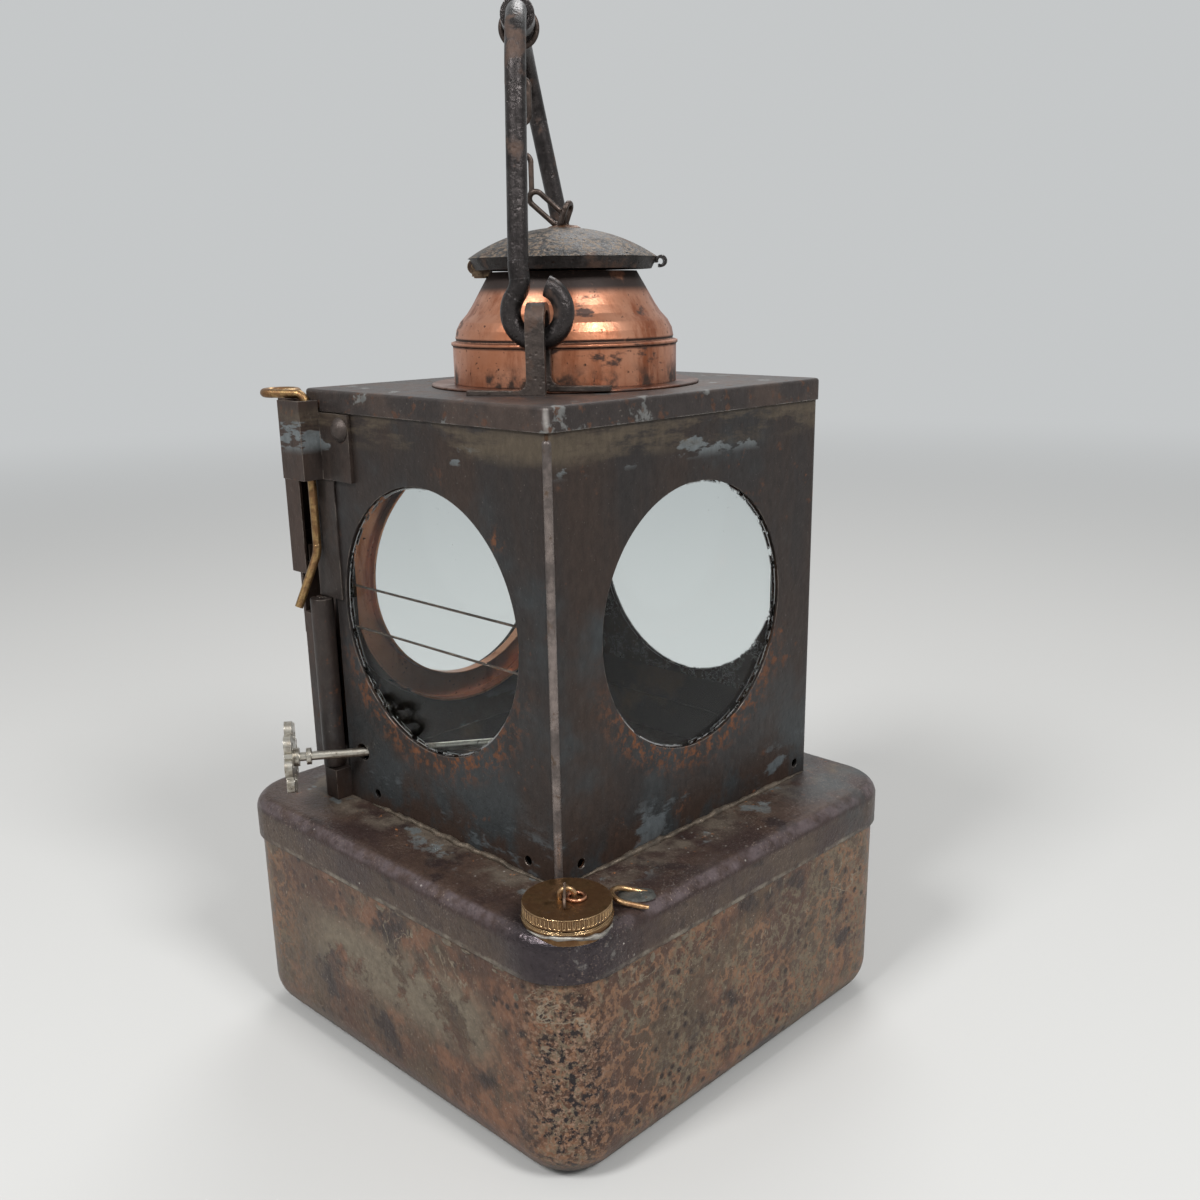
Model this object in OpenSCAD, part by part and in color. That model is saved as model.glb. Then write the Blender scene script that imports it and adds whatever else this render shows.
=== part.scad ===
// Square railway signal lamp: oil tank, sheet steel lamp house with four round
// windows, copper chimney with a hinged cap, wire bail with a chain, and a flat wick burner.
// Millimetres, +Z up, origin at the centre of the tank's flat base.

/* [Tank] */
// How far the square tank stands out from the front and back walls
tank_rim = 20.5; // [18:0.5:26]
// How far the square tank stands out from the side walls, at least
tank_side_rim = 26.5; // [24:0.5:30]
// Height from the base to the top of the lid
tank_h = 84.5; // [75:0.5:100]
// Radius of the tank's vertical corners
tank_corner_r = 18.5; // [14:0.5:24]
// Radius of the rounded edge round the base
tank_base_r = 13.5; // [6:0.5:14]
// Depth of the lid's skirt
skirt_h = 14.7; // [10:0.1:18]
// Radius of the lid's rounded top edge
lid_edge_r = 5; // [2:0.5:8]
// Thickness of the sheet steel
sheet = 1; // [0.8:0.1:1.4]

/* [Lamp house] */
// Width of the lamp house from the doorway side to the other side
house_w = 115; // [108:1:122]
// Depth of the lamp house from front to back
house_d = 127; // [118:1:134]
// Height of the walls from the lid to the roof flange
house_h = 135; // [125:0.1:145]
// How far the house stands behind the middle of the tank
house_y = 4; // [0:0.5:8]
// Width of wall between a round window and the doorway's jamb
window_margin = 5.3; // [3:0.1:9]
// Height of the window centres above the lid
window_z = 71.6; // [66:0.1:76]
// Corner radius of the walls
wall_corner_r = 2.5; // [1.5:0.5:4]
// Width of the gap that the door fills beside the front wall
doorway_inset = 9; // [7:0.5:11]
// Height of the ledge round the inside of the house
ledge_h = 14; // [8:0.5:20]
// Radius of the drain holes near the foot of each wall
drain_r = 1.6; // [1:0.1:2.5]

/* [Roof and chimney] */
// Depth of the roof's turned-down flange
roof_flange_h = 7; // [5:0.5:10]
// How far the roof flange stands out from the walls
roof_overhang = 0.8; // [0.5:0.1:2]
// Radius of the chimney's upright band
band_r = 36.7; // [33:0.1:40]
// Height of the bead above the roof
bead_z = 13.7; // [11:0.1:17]
// Radius of the chimney's open top
mouth_r = 23.9; // [20:0.1:27]
// Height of the chimney's open top above the roof
mouth_z = 35.4; // [32:0.1:42]
// Radius of the copper foot ring
foot_r = 44.2; // [41:0.1:47]
// Radius of the dished cap
cap_r = 30.7; // [28:0.1:34]
// Rise of the dished cap
cap_rise = 9.4; // [8:0.1:10]
// Height of the cap's widest edge above the chimney's mouth
cap_gap = 4.2; // [4:0.1:8]
// Depth of the cap's turned-down brim
brim_h = 3.6; // [2.5:0.1:4]

/* [Bail and chain] */
// Direction of the bail's pivot line, from above
bail_az = -54.2; // [-65:0.1:-40]
// How far the bail leans from upright
bail_lean = 5.4; // [0:0.1:12]
// Height of the bail's pivots above the roof
bail_pivot_z = 23.5; // [20:0.5:26]
// Height of the bail's top bar above its pivots
bail_h = 86; // [78:1:95]
// Half of the bail's width at its pivots
bail_foot_half = 44.7; // [43:0.1:48]
// Half of the bail's width at its top corners, before they are rounded
bail_top_half = 36.8; // [32:0.1:42]
// Twist of the top bar against the pivot line
bail_twist = 10.2; // [0:0.1:14]
// Radius of the bail's upper bends
bail_bend_r = 26; // [20:1:30]
// Radius of the bail's wire
bail_wire_r = 3.1; // [2.5:0.1:3.5]
// Radius of the tube on the top bar
grip_r = 5.2; // [4.6:0.1:7]
// Radius of the chain's wire
chain_wire_r = 0.9; // [0.7:0.05:1.1]
// Height of the hanging chain's end above the cap
chain_end_gap = 8.2; // [8.1:0.1:12]
// Number of hanging chain links
chain_links_n = 4; // [3:1:4]

/* [Door] */
// Depth of the door's folded tray
door_depth = 15.8; // [14:0.1:18]
// Outer radius of the rolled hinge tube along the door
hinge_tube_r = 3.9; // [3.4:0.1:4]
// Radius of the pins that the door turns on
pivot_pin_r = 1.4; // [1.2:0.05:1.6]
// Gap round the pins in their bores
pivot_gap = 0.06; // [0.03:0.01:0.09]
// Height of the top of the rolled hinge tube above the lid
hinge_tube_top = 72; // [60:0.5:73]
// Outer radius of the copper lens ring
lens_ring_r = 52; // [49:0.5:54]

/* [Filler] */
// Radius of the knurled filler cap
filler_r = 13; // [11:0.5:14]
// Distance of the filler's centre from the tank's side
filler_side = 13.3; // [13:0.1:17]
// Distance of the filler's centre from the tank's front
filler_front = 15.1; // [14:0.1:17]
// Thickness of the knurled filler cap
filler_cap_h = 3.3; // [2.5:0.1:5]
// Pitch of the filler's thread
filler_pitch = 1.5; // [1:0.1:2]

/* [Burner] */
// Direction of the winder spindle from the burner, from above
spindle_az = 234.2; // [230:0.1:240]
// Height of the winder spindle above the lid
spindle_z = 18.5; // [16:0.5:20]
// Radius of the winder spindle
spindle_r = 1.55; // [1.3:0.05:1.8]
// Radius of the winder's hand wheel
winder_r = 13; // [11:0.5:14]
// Width of the flat wick
wick_w = 12; // [9:0.5:14]
// Thickness of the flat wick
wick_t = 2; // [1.5:0.1:2.4]

/* [Hidden] */

$fn = 72;
eps = 0.01;
wire_step = 0.04;
wire_lap = 0.3;
far = 400;
steel = "#3b332e";
copper = "#b8714a";
brass = "#8f7440";
glass = "#c9d6d8";

tank_w = max(house_d + 2 * tank_rim, house_w + 2 * tank_side_rim);
lid_clear = 0.2;
lid_w = tank_w + 2 * lid_clear + 2 * sheet;
lid_corner_r = tank_corner_r + lid_clear + sheet;
lid_under = tank_h - sheet;
roof_under = tank_h + house_h;
roof_top = roof_under + roof_flange_h;
roof_w = house_w + 2 * roof_overhang;
roof_d = house_d + 2 * roof_overhang;
front_y = house_y - house_d / 2;
rear_y = house_y + house_d / 2;
jamb_x = -house_w / 2 + doorway_inset;
window_r = -jamb_x - window_margin;
window_height = tank_h + window_z;
chimney_wall = 0.8;
roof_hole_r = band_r - 1.2;

cap_rim_z = roof_top + mouth_z + cap_gap;
cap_wall = 1;
cap_dome_r = (cap_r * cap_r + cap_rise * cap_rise) / (2 * cap_rise);
cap_az = 225;
cap_hinge_x = mouth_r + 4.2;
cap_hinge_z = cap_rim_z - 2.4;
cap_pin_r = 1;

bail_z = roof_top + bail_pivot_z;
eye_r = 8;
eye_shift = 4;
back_r = 6;
back_gap = 1.5;
back_y = -eye_shift - back_r;
back_a = atan2(back_gap, eye_r + back_r) + acos(back_y / norm([eye_r + back_r, back_gap]));
back_z = (eye_r + back_r) * sin(back_a) - back_gap * cos(back_a);
leg_bend_r = 20;
leg_foot = [bail_foot_half, -eye_shift, back_z + back_gap + 2];
bail_corner = [bail_top_half, -eye_shift + bail_top_half * tan(bail_twist), bail_h];
bail_mid = [0, -eye_shift, bail_h];
bar_dir = (bail_mid - bail_corner) / norm(bail_mid - bail_corner);
leg_dir = (leg_foot - bail_corner) / norm(leg_foot - bail_corner);
bar_half = norm(bail_mid - bail_corner) - bail_bend_r / tan(acos(bar_dir * leg_dir) / 2);
strap_w = 5.6;
strap_t = 2.2;
strap_gap = 0.4;
strap_reach = bail_wire_r + strap_gap + strap_t;
grip_half = bar_half - 0.5;
grip_bore_r = bail_wire_r + 0.1;

link_gap = 0.2;
ring_gap = 0.55;
chain_ring_drop = 1.2;
chain_ring_r = bail_wire_r + chain_wire_r + 1.5;
grip_gap = 9.6;
link_half_w = 1.6 + chain_wire_r;
chain_top = bail_z + bail_h * cos(bail_lean) - eye_shift * sin(bail_lean);
chain_end = cap_rim_z + cap_rise + chain_end_gap;
chain_pitch = (chain_top - chain_ring_drop - chain_ring_r + ring_gap - link_gap - chain_wire_r
    - chain_end) / chain_links_n;
link_half_in = (chain_pitch + link_gap) / 2;

pin_x = jamb_x - 5.8;
pin_y = front_y - 2.5;
pivot_bore_r = pivot_pin_r + pivot_gap;
door_x1 = jamb_x - 0.7;
door_x0 = door_x1 - door_depth;
door_y0 = pin_y + 7.4;
door_y1 = rear_y - 0.5;
door_z0 = tank_h + 1;
door_z1 = roof_under - 0.6;
lug_top = tank_h + 11;
tube_z0 = lug_top + 0.4;
tube_z1 = tank_h + hinge_tube_top;
web_z1 = tube_z1 - 6.5;
bracket_z0 = roof_under - 22;
bracket_z1 = roof_under + 3.6;
knuckle_r = 3.7;
knuckle_z0 = bracket_z0 + 0.6;
sleeve_x0 = door_x0 - 8.5;
sleeve_z0 = tube_z1 + 6.5;
lens_y = house_y;

filler_x = tank_w / 2 - filler_side;
filler_y = -tank_w / 2 + filler_front;
neck_h = 1.4;
neck_r = filler_r + 0.3;
neck_bore_r = 9.5;
washer_t = 0.5;
thread_len = 4.4;
filler_thread_r = neck_bore_r - 0.4;
filler_z0 = tank_h + neck_h + washer_t;

burner_x = 0;
burner_y = house_y;
collar_r = 14;
spur_r = 3.2;
spindle_shift = wick_t / 2 + spur_r + 0.3;
spindle_height = tank_h + spindle_z;
wheel_out = (burner_y - front_y + spindle_shift * cos(spindle_az)) / -sin(spindle_az) + 23.5;
wick_top = tank_h + 41;

// A quarter of a rounded edge, for revolving and extruding
module edge_profile(r, h, edge) {
    square([r - edge, h]);
    translate([0, edge]) square([r, h - edge]);
    intersection() {
        translate([r - edge, edge]) circle(edge);
        square([r, h]);
    }
}

// A block with rounded upright corners and a rounded lower edge
module pressed_block(w, d, h, r, edge) {
    for (sx = [-1, 1], sy = [-1, 1])
        translate([sx * (w / 2 - r), sy * (d / 2 - r), 0])
            rotate(sx > 0 ? (sy > 0 ? 0 : 270) : (sy > 0 ? 90 : 180))
                rotate_extrude(angle = 90) edge_profile(r, h, edge);
    for (side = [0, 180])
        rotate(side) translate([w / 2 - r, 0, 0]) rotate([90, 0, 0])
            linear_extrude(d - 2 * r, center = true) edge_profile(r, h, edge);
    for (side = [90, 270])
        rotate(side) translate([d / 2 - r, 0, 0]) rotate([90, 0, 0])
            linear_extrude(w - 2 * r, center = true) edge_profile(r, h, edge);
    translate([-w / 2 + r, -d / 2 + r, 0]) cube([w - 2 * r, d - 2 * r, h]);
}

// A flat rectangle with round corners
module rounded_rect(w, d, r) {
    square([w - 2 * r, d], center = true);
    square([w, d - 2 * r], center = true);
    for (sx = [-1, 1], sy = [-1, 1]) translate([sx * (w / 2 - r), sy * (d / 2 - r)]) circle(r);
}

// A round bar from one point to another
module bar(a, b, r) {
    d = b - a;
    len = norm(d);
    translate(a) rotate([0, acos(d.z / len), atan2(d.y, d.x)]) cylinder(r = r, h = len);
}

// A ring of round wire about Z
module wire_ring(ring_r, wire_r, turn = 360) {
    rotate_extrude(angle = turn) translate([ring_r, 0]) circle(wire_r, $fn = 24);
}

// Straight wire along Z that reaches a little way into the bends at its ends
module straight_wire(len, wire_r) {
    translate([0, 0, -wire_lap])
        cylinder(r = wire_r - wire_step, h = len + 2 * wire_lap, $fn = 24);
}

// An oval link of round wire, standing along Z in the XZ plane
module oval_link(half_in, half_w, wire_r) {
    straight = half_in + wire_r - half_w;
    for (side = [-1, 1]) {
        translate([side * half_w, 0, -straight]) straight_wire(2 * straight, wire_r);
        translate([0, 0, side * straight]) rotate([90, side > 0 ? 0 : 180, 0])
            wire_ring(half_w, wire_r, 180);
    }
}

// Places children at the filler
module at_filler(z) {
    translate([filler_x, filler_y, z]) children();
}

// Places children in the cap hinge's frame: X outwards through the hinge
module at_cap_hinge() {
    translate([0, house_y, 0]) rotate(cap_az) children();
}

// Places children in the bail's frame: X along the pivot line, Z up the bail
module at_bail() {
    translate([0, house_y, bail_z]) rotate(bail_az) rotate([bail_lean, 0, 0]) children();
}

// Places children in the burner's frame: X towards the hand wheel
module at_burner(z) {
    translate([burner_x, burner_y, z]) rotate(spindle_az) children();
}

module tank_shell() {
    color(steel) difference() {
        pressed_block(tank_w, tank_w, tank_h - lid_edge_r, tank_corner_r, tank_base_r);
        translate([0, 0, sheet])
            pressed_block(tank_w - 2 * sheet, tank_w - 2 * sheet, tank_h, tank_corner_r - sheet,
                tank_base_r - sheet);
    }
}

module tank_lid() {
    color(steel) difference() {
        translate([0, 0, tank_h]) mirror([0, 0, 1])
            pressed_block(lid_w, lid_w, skirt_h, lid_corner_r, lid_edge_r);
        translate([0, 0, lid_under]) mirror([0, 0, 1])
            pressed_block(lid_w - 2 * sheet, lid_w - 2 * sheet, skirt_h, lid_corner_r - sheet,
                lid_edge_r - sheet);
        at_filler(tank_h - 2 * sheet) cylinder(r = neck_bore_r, h = 4 * sheet);
        translate([burner_x, burner_y, tank_h - 2 * sheet])
            cylinder(r = collar_r - 2, h = 4 * sheet);
    }
}

module filler_neck() {
    reach = 2.6;
    color(brass) difference() {
        at_filler(tank_h) rotate_extrude() {
            translate([neck_bore_r, 0]) square([neck_r - neck_bore_r - 0.4, neck_h]);
            translate([neck_r - 2, -reach]) square([2, reach + neck_h - 0.5]);
        }
        translate([0, 0, tank_h]) mirror([0, 0, 1])
            pressed_block(lid_w, lid_w, skirt_h, lid_corner_r, lid_edge_r);
    }
}

module filler_washer() {
    color("#6b5a45") at_filler(tank_h + neck_h) rotate_extrude()
        translate([filler_thread_r + 0.2, 0])
            square([neck_r - 1 - filler_thread_r - 0.2, washer_t]);
}

module filler_cap() {
    teeth = 60;
    color(brass) at_filler(filler_z0) {
        difference() {
            cylinder(r = filler_r, h = filler_cap_h, $fn = 120);
            for (i = [0:teeth - 1])
                rotate(i * 360 / teeth) translate([filler_r + 0.15, 0, 0.5])
                    cylinder(r = 0.42, h = filler_cap_h - 1, $fn = 8);
        }
        translate([0, 0, -thread_len]) cylinder(r = filler_thread_r, h = thread_len + eps);
    }
}

module filler_eye() {
    leg = 1.2;
    color(brass) at_filler(filler_z0 + filler_cap_h) rotate(45) {
        for (side = [-1, 1]) translate([side * 2.1, 0, 0]) cylinder(r = 0.8, h = leg, $fn = 24);
        translate([0, 0, leg]) rotate([90, 0, 0]) wire_ring(2.1, 0.8, 180);
    }
}

module filler_ring() {
    color("#8a5a3c") at_filler(filler_z0 + filler_cap_h) rotate(45) translate([2.6, 0, 0.6])
        wire_ring(2.6, 0.55);
}

// Thin link that hangs from the filler's eye towards the front corner
module filler_link() {
    lean = 11;
    reach = 6;
    color(steel) at_filler(filler_z0 + filler_cap_h) rotate(45)
        translate([-0.6, -reach / 2 * cos(lean), 3.1 - reach / 2 * sin(lean)])
            rotate([90 + lean, 0, 0]) rotate(90) oval_link(reach / 2 + 1.1, 1.5, 0.4);
}

// Wire loop soldered to the lid beside the filler
module lid_staple() {
    wire = 0.85;
    loop_r = 4.6;
    prong = 6;
    slope = 14;
    color(brass) difference() {
        translate([filler_x + 6.7, filler_y + 17.8, tank_h + prong * sin(slope)]) rotate(45)
            rotate([0, slope, 0]) {
                rotate(90) wire_ring(loop_r, wire, 180);
                for (side = [-1, 1]) translate([0, side * loop_r, 0]) rotate([0, 90, 0])
                    straight_wire(prong, wire);
            }
        translate([0, 0, -far + tank_h]) cylinder(r = far, h = far);
    }
}

// Round windows through the front, rear and side walls
module window_cutters(r) {
    translate([0, house_y, window_height]) {
        rotate([90, 0, 0]) cylinder(r = r, h = far, center = true, $fn = 96);
        rotate([0, 90, 0]) cylinder(r = r, h = far, $fn = 96);
    }
}

module house_shell() {
    jamb_w = 8;
    spindle_hole_r = 2.9;
    color(steel) difference() {
        union() {
            translate([0, house_y, tank_h]) linear_extrude(house_h) difference() {
                rounded_rect(house_w, house_d, wall_corner_r);
                rounded_rect(house_w - 2 * sheet, house_d - 2 * sheet, wall_corner_r - sheet);
                translate([-house_w / 2 - sheet, -house_d / 2 - sheet])
                    square([doorway_inset + sheet, house_d + 2 * sheet]);
            }
            for (side = [-1, 1])
                translate([jamb_x, side > 0 ? rear_y - jamb_w : front_y, tank_h])
                    cube([sheet, jamb_w, house_h]);
        }
        window_cutters(window_r);
        for (x = [-house_w / 2 + 24.6, house_w / 2 - 13.4])
            translate([x, house_y, tank_h + 4.9]) rotate([90, 0, 0])
                cylinder(r = drain_r, h = far, center = true, $fn = 24);
        for (y = [front_y + 9.5, rear_y - 7.6])
            translate([0, y, tank_h + 4.9]) rotate([0, 90, 0])
                cylinder(r = drain_r, h = far, $fn = 24);
        at_burner(spindle_height) translate([20, spindle_shift, 0]) rotate([0, 90, 0])
            cylinder(r = spindle_hole_r, h = wheel_out, $fn = 36);
    }
}

// Soldered seam up the front corner
module corner_seam() {
    seam_r = 1.3;
    seam_h = house_h - 3;
    color("#6f6a66") translate([house_w / 2 - 0.7, front_y + 0.7, tank_h]) difference() {
        union() {
            cylinder(r = seam_r, h = seam_h, $fn = 24);
            translate([0, 0, seam_h]) sphere(r = seam_r, $fn = 24);
        }
        translate([-far, 0, -eps]) cube([far + 0.7, far, far]);
        translate([-far, -0.7, -eps]) cube([far + 0.7, far, far]);
    }
}

// Folded ledge that stands round the foot of the walls inside
module inner_ledge() {
    inset = 4;
    color(steel) translate([0, house_y, tank_h]) difference() {
        linear_extrude(ledge_h) difference() {
            translate([doorway_inset / 2, 0])
                square([house_w - doorway_inset - 2 * inset, house_d - 2 * inset], center = true);
            translate([doorway_inset / 2, 0])
                square([house_w - doorway_inset - 2 * inset - 2 * sheet,
                    house_d - 2 * inset - 2 * sheet], center = true);
        }
        translate([0, -house_y, -tank_h]) at_burner(spindle_height)
            translate([20, spindle_shift, 0]) rotate([0, 90, 0])
                cylinder(r = 4.5, h = wheel_out, $fn = 36);
    }
}

pane_t = 2;
pane_gap = 0.1;
pane_play = 0.2;
pane_half = window_r + 2.5;
pane_y0 = front_y + sheet + pane_gap;

// Folded strips that hold the edges of the three fixed panes
module guide_pair(slot) {
    for (side = [-1, 1]) mirror([side > 0 ? 0 : 1, 0, 0]) {
        translate([pane_half + 0.3, 0, 0]) cube([sheet, slot, 2 * pane_half]);
        translate([pane_half - 2.2, slot, 0]) cube([2.5 + sheet, sheet, 2 * pane_half]);
    }
}

module glass_guides() {
    slot = pane_gap + pane_t + pane_play;
    color(steel) translate([0, house_y, window_height - pane_half]) {
        translate([0, -house_d / 2 + sheet, 0]) guide_pair(slot);
        translate([0, house_d / 2 - sheet, 0]) rotate(180) guide_pair(slot);
        translate([house_w / 2 - sheet, 0, 0]) rotate(90) guide_pair(slot);
    }
}

module pane() {
    translate([-pane_half, 0, 0]) cube([2 * pane_half, pane_t, 2 * pane_half]);
}

module front_glass() {
    color(glass, 0.35) translate([0, pane_y0, window_height - pane_half]) pane();
}

module rear_glass() {
    color(glass, 0.35)
        translate([0, rear_y - sheet - pane_gap - pane_t, window_height - pane_half]) pane();
}

module side_glass() {
    color(glass, 0.35)
        translate([house_w / 2 - sheet - pane_gap, house_y, window_height - pane_half])
            rotate(90) pane();
}

// Two wires stretched across behind the front pane
module retaining_wires() {
    wire_r = 0.4;
    wire_y = pane_y0 + pane_t + pane_play + sheet + wire_r;
    color("#6a4a36") for (z = [window_z - 9.2, window_z + 5.4])
        translate([-pane_half - 1, wire_y, tank_h + z]) rotate([0, 90, 0])
            cylinder(r = wire_r, h = 2 * pane_half + 2, $fn = 16);
}

module roof_plate() {
    color(steel) translate([0, house_y, 0]) difference() {
        translate([0, 0, roof_top]) mirror([0, 0, 1])
            pressed_block(roof_w, roof_d, roof_flange_h, wall_corner_r + roof_overhang, 1);
        translate([0, 0, roof_under - eps])
            linear_extrude(roof_flange_h - sheet + eps)
                rounded_rect(house_w - 0.4, house_d - 0.4, wall_corner_r - 0.2);
        translate([0, 0, roof_under]) cylinder(r = roof_hole_r, h = far);
    }
}

// Copper ring that the chimney stands on
module chimney_foot() {
    color(copper) translate([0, house_y, roof_top]) rotate_extrude() {
        translate([roof_hole_r, 0]) square([foot_r - roof_hole_r - chimney_wall / 2, chimney_wall]);
        translate([foot_r - chimney_wall / 2, chimney_wall / 2]) circle(chimney_wall / 2, $fn = 24);
    }
}

// Radius of the chimney's shoulder at a share of its height, slightly bowed
function shoulder_r(s) = band_r - 0.9 - (band_r - 0.9 - mouth_r) * s
    + 1.2 * sin(min(180, 450 * s));

module chimney_body() {
    steps = 8;
    z0 = chimney_wall;
    shoulder_z = bead_z + 1.4;
    outer = [for (i = [0:steps])
        [shoulder_r(i / steps), shoulder_z + (mouth_z - shoulder_z) * i / steps]];
    inner = [for (i = [steps:-1:0])
        [shoulder_r(i / steps) - chimney_wall, shoulder_z + (mouth_z - shoulder_z) * i / steps]];
    color(copper) translate([0, house_y, roof_top]) rotate_extrude($fn = 96) difference() {
        polygon(concat([[band_r, z0], [band_r, bead_z - 1.2], [band_r + 0.5, bead_z - 0.7],
            [band_r + 0.5, bead_z], [band_r - 1.1, bead_z + 0.5], [band_r - 1.1, bead_z + 0.9]],
            outer, inner, [[band_r - chimney_wall - 1.3, bead_z + 0.7],
            [band_r - chimney_wall - 1.3, bead_z], [band_r - chimney_wall, bead_z - 1.2],
            [band_r - chimney_wall, z0]]));
    }
}

// Brass lug at the back of the chimney's mouth that carries the cap
module cap_hinge_lug() {
    lug_w = 2.2;
    color(brass) at_cap_hinge() difference() {
        union() {
            for (side = [-1, 1]) translate([0, side * 4.4, 0]) {
                translate([cap_hinge_x, lug_w / 2, cap_hinge_z]) rotate([90, 0, 0])
                    cylinder(r = 2.4, h = lug_w, $fn = 32);
                translate([mouth_r - 0.6, -lug_w / 2, roof_top + mouth_z - 1.2])
                    cube([cap_hinge_x - mouth_r + 1.6, lug_w, cap_hinge_z - roof_top - mouth_z + 1.6]);
            }
            translate([mouth_r + 0.9, -5.5, roof_top + mouth_z - 1.7])
                cube([cap_hinge_x - mouth_r - 0.5, 11, 1.2]);
        }
        translate([cap_hinge_x, 10, cap_hinge_z]) rotate([90, 0, 0])
            cylinder(r = cap_pin_r, h = 20, $fn = 24);
        translate([0, 0, roof_top]) rotate_extrude($fn = 96)
            polygon([for (i = [0:4]) [shoulder_r(0.6 + i * 0.1) + 0.02,
                bead_z + 1.4 + (mouth_z - bead_z - 1.4) * (0.6 + i * 0.1)],
                [0, mouth_z + 0.02], [0, 0]]);
    }
}

module cap_hinge_pin() {
    color(brass) at_cap_hinge() translate([cap_hinge_x, 6.2, cap_hinge_z]) rotate([90, 0, 0])
        cylinder(r = cap_pin_r, h = 12.4, $fn = 24);
}

module chimney_cap() {
    curl_r = 1.9;
    brim_in = 2;
    notch_turn = 28;
    color(steel) {
        translate([0, house_y, cap_rim_z]) rotate_extrude($fn = 96) intersection() {
            translate([0, cap_rise - cap_dome_r]) difference() {
                circle(cap_dome_r, $fn = 256);
                circle(cap_dome_r - cap_wall, $fn = 256);
            }
            square([cap_r, cap_rise + 1]);
        }
        at_cap_hinge() translate([0, 0, cap_rim_z]) rotate(notch_turn / 2)
            rotate_extrude(angle = 360 - notch_turn, $fn = 96)
                polygon([[cap_r - 1.5, 0.2], [cap_r - 0.6, 0.2], [cap_r - 0.12, 0],
                    [cap_r - brim_in, -brim_h], [cap_r - brim_in - 0.9, -brim_h],
                    [cap_r - 1.5, -0.6]]);
        at_cap_hinge() translate([-cap_r - curl_r + 0.9, 0, cap_rim_z - 1.4]) rotate([90, 0, 0])
            difference() {
                cylinder(r = curl_r, h = 9, center = true, $fn = 36);
                cylinder(r = curl_r - 0.9, h = 10, center = true, $fn = 36);
                translate([0.6, -3, -5]) cube([3, 2.6, 10]);
            }
    }
}

// Brass strap under the cap's rim, rolled round the hinge pin
module cap_hinge_strap() {
    strap = 5.6;
    color(brass) at_cap_hinge() difference() {
        union() {
            translate([cap_hinge_x, strap / 2, cap_hinge_z]) rotate([90, 0, 0])
                cylinder(r = 2.1, h = strap, $fn = 32);
            translate([cap_hinge_x - 2.1, -strap / 2, cap_hinge_z])
                cube([1.2, strap, cap_rise]);
        }
        translate([cap_hinge_x, 10, cap_hinge_z]) rotate([90, 0, 0])
            cylinder(r = cap_pin_r + 0.05, h = 20, $fn = 24);
        translate([0, 0, cap_rim_z + cap_rise - cap_dome_r]) difference() {
            cylinder(r = cap_r + 5, h = cap_dome_r + 20);
            rotate_extrude($fn = 96) intersection() {
                circle(cap_dome_r - cap_wall, $fn = 256);
                square(cap_dome_r);
            }
        }
    }
}

cap_top_z = cap_rim_z + cap_rise;

// Places children at the top of the cap: X to the right across the bail's pivot line
module at_cap_top() {
    translate([0, house_y, cap_top_z]) rotate(bail_az + 90) children();
}

// Standing wire loop fixed in the cap's top
module cap_loop() {
    color(steel) difference() {
        at_cap_top() rotate([0, 20, 0]) translate([0, 0, 3.4]) rotate(78)
            oval_link(3.4, 1.35 + chain_wire_r, chain_wire_r);
        translate([0, house_y, cap_top_z - cap_dome_r]) sphere(r = cap_dome_r, $fn = 256);
    }
}

// Last link of the chain, hooked on the cap's loop
module cap_link() {
    half_in = 5.6;
    color(steel) at_cap_top() translate([0.1, 0.3, chain_wire_r + 0.7]) rotate([16, 0, 0])
        rotate([0, -47, 0]) translate([0, 0, half_in + chain_wire_r])
            oval_link(half_in, link_half_w - 0.3, chain_wire_r);
}

// Bend of the strap, from its leg out into a foot
module foot_bend() {
    bend_r = 3;
    difference() {
        cube([strap_t, bend_r, bend_r]);
        translate([-1, bend_r + eps, bend_r + eps]) rotate([0, 90, 0])
            cylinder(r = bend_r, h = strap_t + 2, $fn = 48);
    }
}

// Bent strap whose loop carries one eye of the bail
module bail_bracket() {
    loop_top = 2.9;
    foot = 21;
    color(steel) translate([0, house_y, bail_z]) rotate(bail_az) translate([bail_foot_half, 0, 0]) {
        translate([-strap_reach, -strap_w / 2, -bail_pivot_z + chimney_wall]) cube([strap_t, strap_w,
            bail_pivot_z - chimney_wall + loop_top - strap_reach + eps]);
        translate([strap_reach - strap_t, -strap_w / 2, -bail_pivot_z]) cube([strap_t, strap_w,
            bail_pivot_z + loop_top - strap_reach + eps]);
        translate([0, strap_w / 2, loop_top - strap_reach]) rotate([90, 0, 0]) intersection() {
            difference() {
                cylinder(r = strap_reach, h = strap_w, $fn = 48);
                translate([0, 0, -1]) cylinder(r = strap_reach - strap_t, h = strap_w + 2, $fn = 48);
            }
            translate([-20, 0, -1]) cube([40, 20, strap_w + 2]);
        }
        translate([-strap_reach, strap_w / 2 - eps, -bail_pivot_z + chimney_wall])
            cube([5.2, foot - strap_w / 2, strap_t - chimney_wall]);
        translate([strap_reach - 5.2, -foot, -bail_pivot_z])
            cube([5.2, foot - strap_w / 2 + eps, strap_t - chimney_wall]);
        translate([-strap_reach, strap_w / 2 - eps, -bail_pivot_z + strap_t - eps]) foot_bend();
        translate([strap_reach - strap_t, -strap_w / 2 + eps, -bail_pivot_z + strap_t - chimney_wall - eps])
            mirror([0, 1, 0]) foot_bend();
    }
}

module bail_bracket_front() {
    bail_bracket();
}

module bail_bracket_rear() {
    translate([0, 2 * house_y, 0]) rotate(180) bail_bracket();
}

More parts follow.
